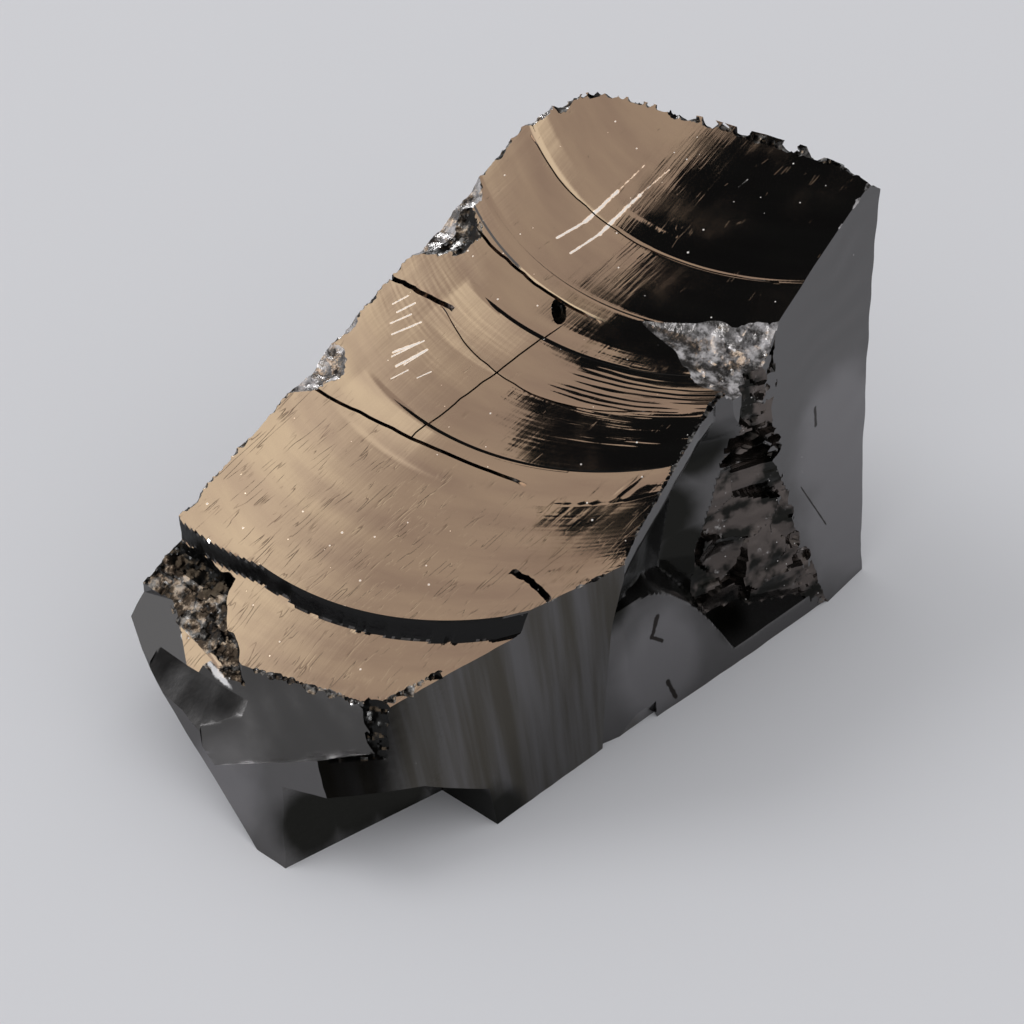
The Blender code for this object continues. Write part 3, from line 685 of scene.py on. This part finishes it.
def rough_block(materials):
    """The block that the stone is cut from."""
    bm = bmesh.new()
    bmesh.ops.create_cube(bm, size=1)
    bmesh.ops.scale(bm, vec=Vector(BLOCK_SIZE) * MM, verts=bm.verts)
    bmesh.ops.translate(bm, vec=placed(BLOCK_MIDDLE), verts=bm.verts)
    mesh = mesh_of("shungite_block", bm)
    for material in materials:
        mesh.materials.append(material)
    mesh.polygons.foreach_set("material_index", [WALL] * len(mesh.polygons))
    return add_object("shungite_block", mesh)


def drop_crumbs(mesh):
    """Keeps the largest closed shell of a mesh, and removes the crumbs that the cuts leave loose."""
    bm = bmesh.new()
    bm.from_mesh(mesh)
    left, shells = dict.fromkeys(bm.verts), []
    while left:
        shell = [left.popitem()[0]]
        for corner in shell:
            for edge in corner.link_edges:
                other = edge.other_vert(corner)
                if other in left:
                    del left[other]
                    shell.append(other)
        shells.append(shell)
    shells.sort(key=len)
    bmesh.ops.delete(bm, geom=[corner for shell in shells[:-1] for corner in shell], context="VERTS")
    bm.to_mesh(mesh)
    bm.free()


def build_stone(materials):
    """The stone: the rough block, cut by one cutter after the other."""
    block = rough_block(materials)
    cutters = long_faces() + side_faces() + front_faces() + top_marks()
    for rim in RIMS:
        cutters += rim_chips(*rim)
    for piece in cutters:
        for material in materials:
            piece.data.materials.append(material)
        cut = block.modifiers.new(piece.name, "BOOLEAN")
        cut.operation = "DIFFERENCE"
        cut.solver = "MANIFOLD"
        cut.object = piece
    bpy.context.view_layer.update()
    mesh = bpy.data.meshes.new_from_object(block.evaluated_get(bpy.context.evaluated_depsgraph_get()))
    block.modifiers.clear()
    block.data = mesh
    for piece in cutters:
        bpy.data.objects.remove(piece, do_unlink=True)
    drop_crumbs(mesh)
    mesh.shade_smooth()
    mesh.set_sharp_from_angle(angle=math.radians(20))
    return block


# ---- materials ------------------------------------------------------------------------------------
def add(tree, kind, *values, **settings):
    """A new node with its settings and its inputs in order, each a number or another node's output."""
    made = tree.nodes.new("ShaderNode" + kind)
    for name, value in settings.items():
        setattr(made, name, value)
    for place, value in enumerate(values):
        if isinstance(value, bpy.types.NodeSocket):
            tree.links.new(value, made.inputs[place])
        elif value is not None:
            made.inputs[place].default_value = value
    return made.outputs[0]


def maths(tree, operation, *values, clamp=False):
    """A sum, a product or another operation on numbers."""
    return add(tree, "Math", *values, operation=operation, use_clamp=clamp)


def ramp(tree, value, low, high, to_low=0.0, to_high=1.0):
    """A smooth change from `to_low` to `to_high` while the value goes from `low` to `high`."""
    return add(tree, "MapRange", value, low, high, to_low, to_high, interpolation_type="SMOOTHSTEP")


def scatter(tree, x, width, y, length, seed, detail=2.0):
    """Noise from 0 to 1, with one bump for each `width` of x and `length` of y."""
    place = add(tree, "CombineXYZ", maths(tree, "DIVIDE", x, width), maths(tree, "DIVIDE", y, length), seed)
    return add(tree, "TexNoise", place, None, 1.0, detail, 0.5)


def bell(tree, value, middle, width):
    """1 where the value is at the middle, and less and less away from it."""
    off = maths(tree, "DIVIDE", maths(tree, "SUBTRACT", value, middle), width)
    return maths(tree, "EXPONENT", maths(tree, "MULTIPLY", maths(tree, "MULTIPLY", off, off), -1))


def measure(tree, operation, *values):
    """A vector operation that gives a number: DOT_PRODUCT, LENGTH or DISTANCE."""
    return add(tree, "VectorMath", *values, operation=operation).node.outputs["Value"]


def mix(tree, share, first, second):
    """A colour from `first` to `second`. Each is three numbers or another node's output."""
    tones = [tone if isinstance(tone, bpy.types.NodeSocket) else (*tone, 1) for tone in (first, second)]
    return add(tree, "MixRGB", share, *tones)


def group(name, inputs, outputs):
    """A node group with named inputs and outputs: (tree, the inputs' sockets, the outputs' sockets)."""
    tree = bpy.data.node_groups.new(name, "ShaderNodeTree")
    for label, kind in inputs:
        tree.interface.new_socket(label, in_out="INPUT", socket_type=kind)
    for label, kind in outputs:
        tree.interface.new_socket(label, in_out="OUTPUT", socket_type=kind)
    return tree, tree.nodes.new("NodeGroupInput").outputs, tree.nodes.new("NodeGroupOutput").inputs


def use(tree, shared, *values):
    """A node group in a material, with its inputs in order. Gives its outputs."""
    return add(tree, "Group", *values, node_tree=shared).node.outputs


VECTOR, NUMBER = "NodeSocketVector", "NodeSocketFloat"
METALLIC = 0.97


def arc_group():
    """Where a point lies on the top face's arcs, in millimetres: which arc, and how far up it."""
    tree, take, give = group("arc coordinates", [("Position", VECTOR)],
                             [("Along", NUMBER), ("Across", NUMBER)])
    turn = face_turn(TOP_OUTWARD, Vector((1, 0, 0)))
    moved = add(tree, "VectorMath", take[0], placed(TOP_MIDDLE), operation="SUBTRACT")
    u, v = [maths(tree, "DIVIDE", measure(tree, "DOT_PRODUCT", moved, turn.col[axis]), MM) for axis in (0, 1)]
    share = add(tree, "MapRange", u, BENCH_STEP_FOOT, ARC_LAST, 0.0, 1.0)
    middle = maths(tree, "MULTIPLY_ADD", share, ARC_MIDDLE_RIGHT - ARC_MIDDLE_LEFT, ARC_MIDDLE_LEFT)
    angle = maths(tree, "ARCSINE", maths(tree, "DIVIDE", maths(tree, "SUBTRACT", v, middle), ARC_RADIUS))
    lift = maths(tree, "MULTIPLY_ADD", maths(tree, "COSINE", angle), -ARC_RADIUS, ARC_RADIUS)
    tree.links.new(maths(tree, "SUBTRACT", u, lift), give[0])
    tree.links.new(maths(tree, "MULTIPLY", angle, ARC_RADIUS), give[1])
    return tree


def ripple_group():
    """Fine ripples that follow the arcs, as a height: strong in the middle band, faint elsewhere."""
    tree, take, give = group("fine ripples", [("Along", NUMBER), ("Across", NUMBER)], [("Height", NUMBER)])
    along, across = take[:2]
    wander = scatter(tree, along, 3, across, 14, 3.0)
    turns = maths(tree, "MULTIPLY_ADD", wander, 1.6, maths(tree, "DIVIDE", along, 0.85))
    wave = maths(tree, "SINE", maths(tree, "MULTIPLY", turns, 2 * math.pi))
    patch = ramp(tree, scatter(tree, along, 1.6, across, 10, 8.0), 0.35, 0.65)
    strength = maths(tree, "MULTIPLY", maths(tree, "ADD", bell(tree, along, 2, 8), 0.05), patch)
    strength = maths(tree, "MULTIPLY", strength, ramp(tree, across, -4, -20, 0.25, 1.0))
    tree.links.new(maths(tree, "MULTIPLY", wave, strength), give[0])
    return tree


def hackle_group():
    """Thin torn lines that run across the arcs, where the break changed its plane."""
    tree, take, give = group("hackles", [("Along", NUMBER), ("Across", NUMBER), ("Spacing", NUMBER),
                                         ("Length", NUMBER), ("Amount", NUMBER)], [("Line", NUMBER)])
    along, across, spacing, length, amount = take[:5]
    field = scatter(tree, along, length, across, spacing, 1.0, 1.0)
    line = ramp(tree, maths(tree, "ABSOLUTE", maths(tree, "SUBTRACT", field, 0.5)), 0.0, 0.02, 1.0, 0.0)
    here = add(tree, "MapRange", scatter(tree, along, 3.5, across, 2.5, 5.0),
               maths(tree, "SUBTRACT", 0.75, amount), maths(tree, "SUBTRACT", 0.95, amount), 0.0, 1.0)
    tree.links.new(maths(tree, "MULTIPLY", line, here), give[0])
    return tree


def dust_group():
    """Small pale specks: crushed bits and dust on the break."""
    tree, take, give = group("dust", [("Position", VECTOR), ("Spacing", NUMBER), ("Amount", NUMBER)],
                             [("Mask", NUMBER)])
    cells = tree.nodes.new("ShaderNodeTexVoronoi")
    tree.links.new(take[0], cells.inputs["Vector"])
    tree.links.new(maths(tree, "DIVIDE", 1.0, take[1]), cells.inputs["Scale"])
    size = maths(tree, "MULTIPLY", add(tree, "SeparateColor", cells.outputs["Color"]), take[2])
    off = maths(tree, "SUBTRACT", cells.outputs["Distance"], size)
    tree.links.new(ramp(tree, off, -0.03, 0.0, 1.0, 0.0), give[0])
    return tree


def scratch_group():
    """A pale crushed line from one point to another."""
    tree, take, give = group("scratch", [("Position", VECTOR), ("Start", VECTOR), ("End", VECTOR),
                                         ("Width", NUMBER)], [("Mask", NUMBER)])
    place, start, end, width = take[:4]
    run = add(tree, "VectorMath", end, start, operation="SUBTRACT")
    way = add(tree, "VectorMath", place, start, operation="SUBTRACT")
    share = maths(tree, "DIVIDE", measure(tree, "DOT_PRODUCT", way, run),
                  measure(tree, "DOT_PRODUCT", run, run), clamp=True)
    near = add(tree, "VectorMath", run, None, None, share, operation="SCALE")
    off = measure(tree, "LENGTH", add(tree, "VectorMath", way, near, operation="SUBTRACT"))
    rough = maths(tree, "MULTIPLY_ADD", add(tree, "TexNoise", place, None, 1500.0, 2.0), 1.2, 0.4)
    off = maths(tree, "DIVIDE", off, maths(tree, "MULTIPLY", width, rough))
    tree.links.new(ramp(tree, off, 0.5, 1.0, 1.0, 0.0), give[0])
    return tree


def painted_light_cloud_group():
    """A soft cloud round a point: the mask for the painted shade and the painted reflection on the walls."""
    tree, take, give = group("painted_light_cloud", [("Position", VECTOR), ("Centre", VECTOR), ("Radius", NUMBER)],
                             [("Mask", NUMBER)])
    near = maths(tree, "DIVIDE", measure(tree, "DISTANCE", take[0], take[1]), take[2])
    near = maths(tree, "MULTIPLY_ADD", add(tree, "TexNoise", take[0], None, 160.0, 3.0), 0.5, near)
    tree.links.new(ramp(tree, near, 0.8, 1.3, 1.0, 0.0), give[0])
    return tree


def stone_material(name, glass, roughness):
    """A black glassy break: (material, its tree, its shader, the object's coordinates)."""
    material = bpy.data.materials.new(name)
    material.use_nodes = True
    tree = material.node_tree
    shader = tree.nodes["Principled BSDF"]
    shader.inputs["Base Color"].default_value = (*glass, 1)
    shader.inputs["Roughness"].default_value = roughness
    shader.inputs["Metallic"].default_value = METALLIC
    return material, tree, shader, tree.nodes.new("ShaderNodeTexCoord").outputs["Object"]


def bump(tree, shader, height, depth):
    """Bumps the surface by `depth` millimetres for a height of 1."""
    made = tree.nodes.new("ShaderNodeBump")
    made.inputs["Strength"].default_value = 1.0
    made.inputs["Distance"].default_value = depth * MM
    tree.links.new(height, made.inputs["Height"])
    tree.links.new(made.outputs[0], shader.inputs["Normal"])


def line_mask(tree, shared, place, start, end, width):
    """The mask of a crushed line between two places, in millimetres."""
    return use(tree, shared["scratch"], place, placed(start), placed(end), width * MM)[0]


def crushed(tree, shader, mask, glass, powder):
    """Where the mask is 1, the glass turns to a pale matt tone: crushed powder, and on the rough and silvery
    breaks also painted highlights.
    """
    tree.links.new(mix(tree, mask, glass, powder), shader.inputs["Base Color"])
    whole = maths(tree, "SUBTRACT", 1.0, mask)
    tree.links.new(maths(tree, "MULTIPLY", whole, METALLIC), shader.inputs["Metallic"])


# Crushed scratches in the top face: from (u, v) to (u, v), and the width.
SCRATCHES = (((20.8, 8.0), (24.7, 6.3), 0.25), ((24.7, 6.3), (30.8, 5.4), 0.39),
             ((30.8, 5.4), (36.0, 4.9), 0.23), ((19.8, 4.8), (24.2, 3.3), 0.23),
             ((24.2, 3.3), (31.8, 2.4), 0.37), ((31.8, 2.4), (37.0, 1.5), 0.23),
             ((41.0, -8.8), (39.4, -8.5), 0.18), ((1.2, 20.9), (3.3, 19.9), 0.14),
             ((0.5, 19.5), (2.9, 18.3), 0.18), ((-1.3, 19.1), (1.2, 17.6), 0.16),
             ((-2.6, 17.8), (0.9, 15.6), 0.17), ((-4.7, 15.8), (-1.8, 13.7), 0.23),
             ((-5.3, 15.5), (-1.2, 13.3), 0.14), ((-6.2, 14.0), (-2.1, 12.0), 0.23),
             ((-5.5, 13.2), (-2.3, 12.0), 0.11), ((-8.1, 13.3), (-5.9, 12.2), 0.11),
             ((-6.2, 10.3), (-4.5, 9.3), 0.11))
# Places of the walls painted darker as shade and paler as the pale floor's reflection: the middle and the
# radius.
# Painted shade: places in the scoop and near the ground, painted darker.
PAINTED_SHADE_SPOTS = (((-4, -23, 27), 6), ((-4, -23, 21), 6), ((2, -21, 30), 6), ((3, -21, 23), 7), ((9, -20, 32), 7),
         ((9, -20, 25), 7), ((14, -21, 34), 6), ((13, -21, 18), 6), ((15, -23, 12), 6), ((18, -26, 7), 5),
         ((-28, -20, 0), 7), ((-27, -23.5, 0), 5), ((-46, -9, 4), 6), ((-40, -11, 4), 6), ((-34, -13, 3), 6))
# Painted reflection: places low on the walls painted paler, as the reflection of the pale floor.
PAINTED_FLOOR_REFLECTION_SPOTS = (((42, -27, 12), 15), ((40, -26, 24), 12), ((3, -25, 7), 9), ((-46, 3, 4), 8))
# Short dark cracks in the walls: start, end and width.
WALL_CRACKS = (((3.8, -24.1, 14.0), (2.3, -24.5, 11.7), 0.5), ((2.3, -24.5, 11.7), (3.9, -25.0, 10.2), 0.35),
               ((3.7, -26.3, 3.9), (4.6, -27.0, 1.0), 0.45), ((35.2, -24.8, 30.2), (35.1, -25.2, 27.6), 0.4),
               ((30.6, -26.6, 20.5), (35.4, -27.7, 11.6), 0.16))
RIDGE_WIDTH = 0.6
CURTAIN_ALONG = Vector((0.858, -0.513, 0))
UPRIGHT = Vector((0, 0, 1))

# The tones of the glass and of its powder.
DEEP_GLASS = (0.092, 0.086, 0.085)
PALE_GLASS = (0.116, 0.112, 0.106)
LINE_GLASS = (0.03, 0.026, 0.024)
WALL_GLASS = (0.122, 0.119, 0.12)
BANDED_GLASS = (0.072, 0.066, 0.056)
# Painted shade on the walls; the rough break's dark random patches share this tone.
SMOKY_AND_SHADE_GLASS = (0.02, 0.02, 0.018)
# Painted reflection of the pale floor, low on the walls.
PAINTED_FLOOR_REFLECTION_GLASS = (0.20, 0.195, 0.20)
ROUGH_GLASS = (0.135, 0.115, 0.105)
CRUSHED_GLASS = (0.022, 0.021, 0.021)
# Painted shade: a darker copy of the glass, for the torn step, grooves and pit that look black.
HACKLED_SHADE_GLASS = (0.02, 0.02, 0.02)
SILVER_GLASS = (0.10, 0.095, 0.09)
WHITE_POWDER = (0.8, 0.79, 0.8)
TOP_POWDER = (0.80, 0.77, 0.74)
WALL_POWDER = (0.5, 0.49, 0.49)
# This powder also colours the rough break's painted highlights.
ROUGH_POWDER_AND_GLINT = (0.50, 0.48, 0.47)
CRUSHED_POWDER = (0.36, 0.345, 0.33)
HACKLED_POWDER = (0.45, 0.44, 0.44)
# This powder also colours the silvery break's painted highlights.
SILVER_POWDER_AND_GLINT = (0.55, 0.53, 0.54)


def glassy_material(shared):
    """The mirror-like top face, with its ripples, hackles, scratches and specks."""
    material, tree, shader, place = stone_material("glassy break", PALE_GLASS, 0.03)
    along, across = use(tree, shared["arc"], place)[:2]
    ripple = use(tree, shared["ripple"], along, across)[0]
    left = ramp(tree, along, -12, -20, 0.12, 0.30)
    hackle = use(tree, shared["hackle"], along, across, 1.0, 8.0, left)[0]
    height = maths(tree, "MULTIPLY_ADD", hackle, -0.9, ripple)
    height = maths(tree, "MULTIPLY_ADD", scatter(tree, along, 6, across, 0.45, 9.0), 0.3, height)
    bump(tree, shader, height, 0.0075)
    mask = use(tree, shared["dust"], place, 0.0019, 0.10)[0]
    for start, end, width in SCRATCHES:
        scratch = line_mask(tree, shared, place, on_top(*start), on_top(*end), width)
        mask = maths(tree, "MAXIMUM", mask, scratch)
    belt = ramp(tree, scatter(tree, along, 5, across, 24, 11.0, 4.0), 0.3, 0.7)
    tint = mix(tree, belt, DEEP_GLASS, PALE_GLASS)
    # The hackles are dark, and so is the glass beside the last scratch.
    dark = maths(tree, "MAXIMUM", maths(tree, "MULTIPLY", scratch, 0.5),
                 maths(tree, "MULTIPLY", hackle, 0.55))
    crushed(tree, shader, mask, mix(tree, dark, tint, LINE_GLASS), TOP_POWDER)
    stain = add(tree, "TexNoise", place, None, 120.0, 5.0)
    tree.links.new(ramp(tree, stain, 0.35, 0.8, 0.02, 0.10), shader.inputs["Roughness"])
    return material


def clouds(tree, shared, place, spots):
    """The mask of all the clouds of a list."""
    mask = 0.0
    for spot, radius in spots:
        cloud = use(tree, shared["painted_light_cloud"], place, placed(spot), radius * MM)[0]
        mask = maths(tree, "MAXIMUM", cloud, mask)
    return mask


def crush_with_ridge(tree, shader, shared, place, mask, glass, powder):
    """As `crushed`, and with white powder on the crushed ridge at the front end's left."""
    ridge = line_mask(tree, shared, place, *CRUSHED_RIDGE, RIDGE_WIDTH)
    powder = mix(tree, ridge, powder, WHITE_POWDER)
    crushed(tree, shader, maths(tree, "MAXIMUM", mask, ridge), glass, powder)


def wall_material(shared, name, striped):
    """A smooth wall. Where `striped` is 1, fine upright bands run down it. Shade is painted darker in the
    scoop and near the ground, and the pale floor's reflection is painted paler low on the walls.
    """
    material, tree, shader, place = stone_material(name, WALL_GLASS, 0.12)
    bump(tree, shader, add(tree, "TexNoise", place, None, 900.0, 4.0), 0.012)
    across = maths(tree, "DIVIDE", measure(tree, "DOT_PRODUCT", place, CURTAIN_ALONG), MM)
    height = maths(tree, "DIVIDE", measure(tree, "DOT_PRODUCT", place, UPRIGHT), MM)
    lean = maths(tree, "MULTIPLY_ADD", height, 0.10, across)
    bands = ramp(tree, scatter(tree, lean, 2.2, height, 40, 3.0, 8.0), 0.32, 0.68)
    tint = mix(tree, maths(tree, "MULTIPLY", bands, striped), WALL_GLASS, BANDED_GLASS)
    # Painted light: low places painted paler, as the pale floor's reflection.
    tint = mix(tree, clouds(tree, shared, place, PAINTED_FLOOR_REFLECTION_SPOTS), tint, PAINTED_FLOOR_REFLECTION_GLASS)
    # Painted shade: darker places in the scoop and near the ground.
    tint = mix(tree, clouds(tree, shared, place, PAINTED_SHADE_SPOTS), tint, SMOKY_AND_SHADE_GLASS)
    for start, end, width in WALL_CRACKS:
        tint = mix(tree, line_mask(tree, shared, place, start, end, width), tint, LINE_GLASS)
    dust = use(tree, shared["dust"], place, 0.0024, 0.05)[0]
    crush_with_ridge(tree, shader, shared, place, dust, tint, WALL_POWDER)
    stain = add(tree, "TexNoise", place, None, 90.0, 5.0)
    tree.links.new(ramp(tree, stain, 0.3, 0.75, 0.10, 0.24), shader.inputs["Roughness"])
    return material


def rough_material(shared):
    """The rough break: patches of brown and smoky glass, with pale specks of crushed glass and pale patches
    that are painted highlights.
    """
    material, tree, shader, place = stone_material("rough break", ROUGH_GLASS, 0.14)
    bump(tree, shader, add(tree, "TexNoise", place, None, 700.0, 3.0), 0.03)
    patches = ramp(tree, add(tree, "TexNoise", place, None, 260.0, 3.0), 0.45, 0.6)
    # Painted highlights: pale matt patches that stand in for the glints of the facets.
    painted_glints = ramp(tree, add(tree, "TexNoise", place, None, 380.0, 8.0, 0.7), 0.60, 0.72, 0.0, 0.8)
    mask = maths(tree, "MAXIMUM", use(tree, shared["dust"], place, 0.0013, 0.12)[0], painted_glints)
    crushed(tree, shader, mask, mix(tree, patches, ROUGH_GLASS, SMOKY_AND_SHADE_GLASS), ROUGH_POWDER_AND_GLINT)
    return material


def crushed_material(shared):
    """Dark splinters with grey crushed edges."""
    material, tree, shader, place = stone_material("crushed break", CRUSHED_GLASS, 0.3)
    bump(tree, shader, add(tree, "TexNoise", place, None, 900.0, 6.0), 0.15)
    patches = ramp(tree, add(tree, "TexNoise", place, None, 480.0, 8.0, 0.7), 0.47, 0.66, 0.0, 0.85)
    crush_with_ridge(tree, shader, shared, place, patches, CRUSHED_GLASS, CRUSHED_POWDER)
    return material


def hackled_shade_material(shared):
    """Torn glass with a few specks, painted black as shade: a darker copy of the glass of the other breaks.
    """
    material, tree, shader, place = stone_material("hackled break in painted shade", HACKLED_SHADE_GLASS, 0.25)
    bump(tree, shader, add(tree, "TexNoise", place, None, 1100.0, 5.0), 0.05)
    crushed(tree, shader, use(tree, shared["dust"], place, 0.0013, 0.08)[0], HACKLED_SHADE_GLASS, HACKLED_POWDER)
    return material


def silver_material():
    """Glass crushed to many pale splinters, in patches: the pale patches are partly crushed powder and partly
    painted highlights, the splinters' glints.
    """
    material, tree, shader, place = stone_material("silvery break", SILVER_GLASS, 0.26)
    bump(tree, shader, add(tree, "TexNoise", place, None, 1100.0, 6.0), 0.2)
    # Pale patches: partly crushed powder, partly painted highlights.
    patches = ramp(tree, add(tree, "TexNoise", place, None, 420.0, 8.0, 0.7), 0.42, 0.66, 0.12, 1.0)
    crushed(tree, shader, patches, SILVER_GLASS, SILVER_POWDER_AND_GLINT)
    return material


def make_materials():
    """The kinds of break, in the order of their numbers."""
    shared = {"arc": arc_group(), "ripple": ripple_group(), "hackle": hackle_group(),
              "dust": dust_group(), "scratch": scratch_group(), "painted_light_cloud": painted_light_cloud_group()}
    return [glassy_material(shared), wall_material(shared, "smooth wall", 0.0), rough_material(shared),
            hackled_shade_material(shared), silver_material(), crushed_material(shared),
            wall_material(shared, "curtain wall", 1.0)]


# ---- camera, floor and light ----------------------------------------------------------------------
def camera_place():
    """Where the camera stands, in millimetres before the shift to the origin."""
    back = Vector((math.sin(CAMERA_AZIMUTH) * math.cos(CAMERA_ELEVATION),
                   -math.cos(CAMERA_AZIMUTH) * math.cos(CAMERA_ELEVATION), math.sin(CAMERA_ELEVATION)))
    return CAMERA_TARGET + back * CAMERA_DISTANCE


def make_camera():
    """The camera, which looks down at the stone through a long lens."""
    data = bpy.data.cameras.new("camera")
    data.lens = CAMERA_LENS
    data.sensor_width = CAMERA_SENSOR
    data.clip_start = 0.01
    camera = add_object("camera", data)
    camera.location = placed(camera_place())
    camera.rotation_euler = (CAMERA_TARGET - camera_place()).to_track_quat("-Z", "Y").to_euler()
    bpy.context.scene.camera = camera


CARD_DISTANCE = 500
CARD_GLOW = 2.9
CARD_DEEP = (0.93, 0.67, 0.48)
CARD_PALE = (1.87, 1.46, 1.03)
CARD_PALE_SIDE = Vector((-0.35, -0.94, 0))
CARD_PALE_RANGE = (0.010, 0.050)     # in metres on the card, along its pale side
# The edge of the warm card, as the places on the top face where its reflection ends.
CARD_EDGE = ((-170, -60), (-15, -60), (-14, -16), (-9, -10), (-6, -7), (-2, -3), (10, -2.5), (15.5, -3),
             (16, -4.5), (27.5, -4.5), (28, -0.5), (48, -2), (75, -3), (75, 60), (-170, 60))


def mirrored(u, v):
    """The way that the camera's line of sight goes on after it meets the top face at (u, v)."""
    sight = (on_top(u, v) - camera_place()).normalized()
    return sight - 2 * sight.dot(TOP_OUTWARD) * TOP_OUTWARD


def card_material():
    """A warm glow that grows paler towards one side."""
    material = bpy.data.materials.new("warm card")
    material.use_nodes = True
    tree = material.node_tree
    tree.nodes.clear()
    place = tree.nodes.new("ShaderNodeTexCoord").outputs["Object"]
    side = measure(tree, "DOT_PRODUCT", place, CARD_PALE_SIDE)
    tone = mix(tree, ramp(tree, side, *CARD_PALE_RANGE), CARD_DEEP, CARD_PALE)
    glow = add(tree, "Emission", tone, CARD_GLOW)
    tree.links.new(glow, tree.nodes.new("ShaderNodeOutputMaterial").inputs["Surface"])
    return material


def make_card():
    """A warm card above and behind the stone, which the glassy top face mirrors."""
    facing = mirrored(0, 0)
    middle = on_top(0, 0) + facing * CARD_DISTANCE
    turn = face_turn(-facing, face_turn(TOP_OUTWARD, Vector((1, 0, 0))).col[0])
    bm = bmesh.new()
    for u, v in CARD_EDGE:
        way = mirrored(u, v)
        spot = on_top(u, v) + way * ((middle - on_top(u, v)).dot(facing) / way.dot(facing))
        bm.verts.new(turn.transposed() @ (spot - middle) * MM)
    bm.faces.new(bm.verts)
    mesh = mesh_of("warm_card", bm)
    mesh.materials.append(card_material())
    card = add_object("warm_card", mesh)
    card.matrix_world = Matrix.Translation(placed(middle)) @ turn.to_4x4()
    card.visible_camera = False
    card.visible_diffuse = False
    card.visible_shadow = False


FLOOR_HALF = 3                      # in metres
FLOOR_TONE = (0.735, 0.74, 0.775)


def make_floor():
    """A plain pale floor."""
    bm = bmesh.new()
    bmesh.ops.create_grid(bm, size=FLOOR_HALF)
    mesh = mesh_of("floor", bm)
    material = bpy.data.materials.new("floor")
    material.use_nodes = True
    shader = material.node_tree.nodes["Principled BSDF"]
    shader.inputs["Base Color"].default_value = (*FLOOR_TONE, 1)
    shader.inputs["Roughness"].default_value = 0.9
    shader.inputs["Specular IOR Level"].default_value = 0.1
    mesh.materials.append(material)
    add_object("floor", mesh)


# The lights: name, direction, distance and size in metres, power, and whether only shiny faces see it.
LIGHTS = (("key", (-0.25, 0.8, 0.9), 3.5, 1.7, 23.0, False),
          ("sparkle_left", (-0.9, 0.3, 0.55), 0.8, 0.10, 1.5, True),
          ("sparkle_back", (0.5, 0.8, 0.4), 0.8, 0.10, 1.5, True))


def area_light(name, direction, distance, size, power, glossy):
    """A round light that points at the origin."""
    data = bpy.data.lights.new(name, "AREA")
    data.shape = "DISK"
    data.size = size
    data.energy = power
    light = add_object(name, data)
    light.location = Vector(direction).normalized() * distance
    light.rotation_euler = (-Vector(direction)).to_track_quat("-Z", "Y").to_euler()
    light.visible_glossy = glossy
    light.visible_diffuse = not glossy
    light.visible_camera = False


WHITE_ROOM = 0.86                   # what matt faces see
DARK_ROOM = 0.025                   # what shiny faces see, apart from these pale walls
# The pale walls: direction, how near to it the wall starts and is full, and its tones there.
PALE_WALLS = ((UPRIGHT, 0.42, 0.1, 0.0, 0.6),
              (Vector((-0.32, 0.84, 0.44)).normalized(), 0.90, 0.97, 0.0, 1.1),
              (Vector((-0.93, 0.2, 0.3)).normalized(), 0.88, 0.96, DARK_ROOM, 0.5))


def make_world():
    """Soft white light on everything matt. What shines sees a dark ceiling and pale walls."""
    world = bpy.data.worlds.new("studio")
    bpy.context.scene.world = world
    world.use_nodes = True
    tree = world.node_tree
    tree.nodes.clear()
    view = tree.nodes.new("ShaderNodeTexCoord").outputs["Generated"]
    room = 0.0
    for direction, *change in PALE_WALLS:
        wall = ramp(tree, measure(tree, "DOT_PRODUCT", view, direction), *change)
        room = maths(tree, "MAXIMUM", room, wall)
    glossy = tree.nodes.new("ShaderNodeLightPath").outputs["Is Glossy Ray"]
    strength = add(tree, "Mix", glossy, None, WHITE_ROOM, room, data_type="FLOAT")
    background = add(tree, "Background", None, strength)
    tree.links.new(background, tree.nodes.new("ShaderNodeOutputWorld").inputs["Surface"])


make_camera()
make_floor()
make_card()
make_world()
for light in LIGHTS:
    area_light(*light)
bpy.context.scene.view_settings.view_transform = "Standard"

STONE = build_stone(make_materials())
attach(STONE, "root")
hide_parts("stone")
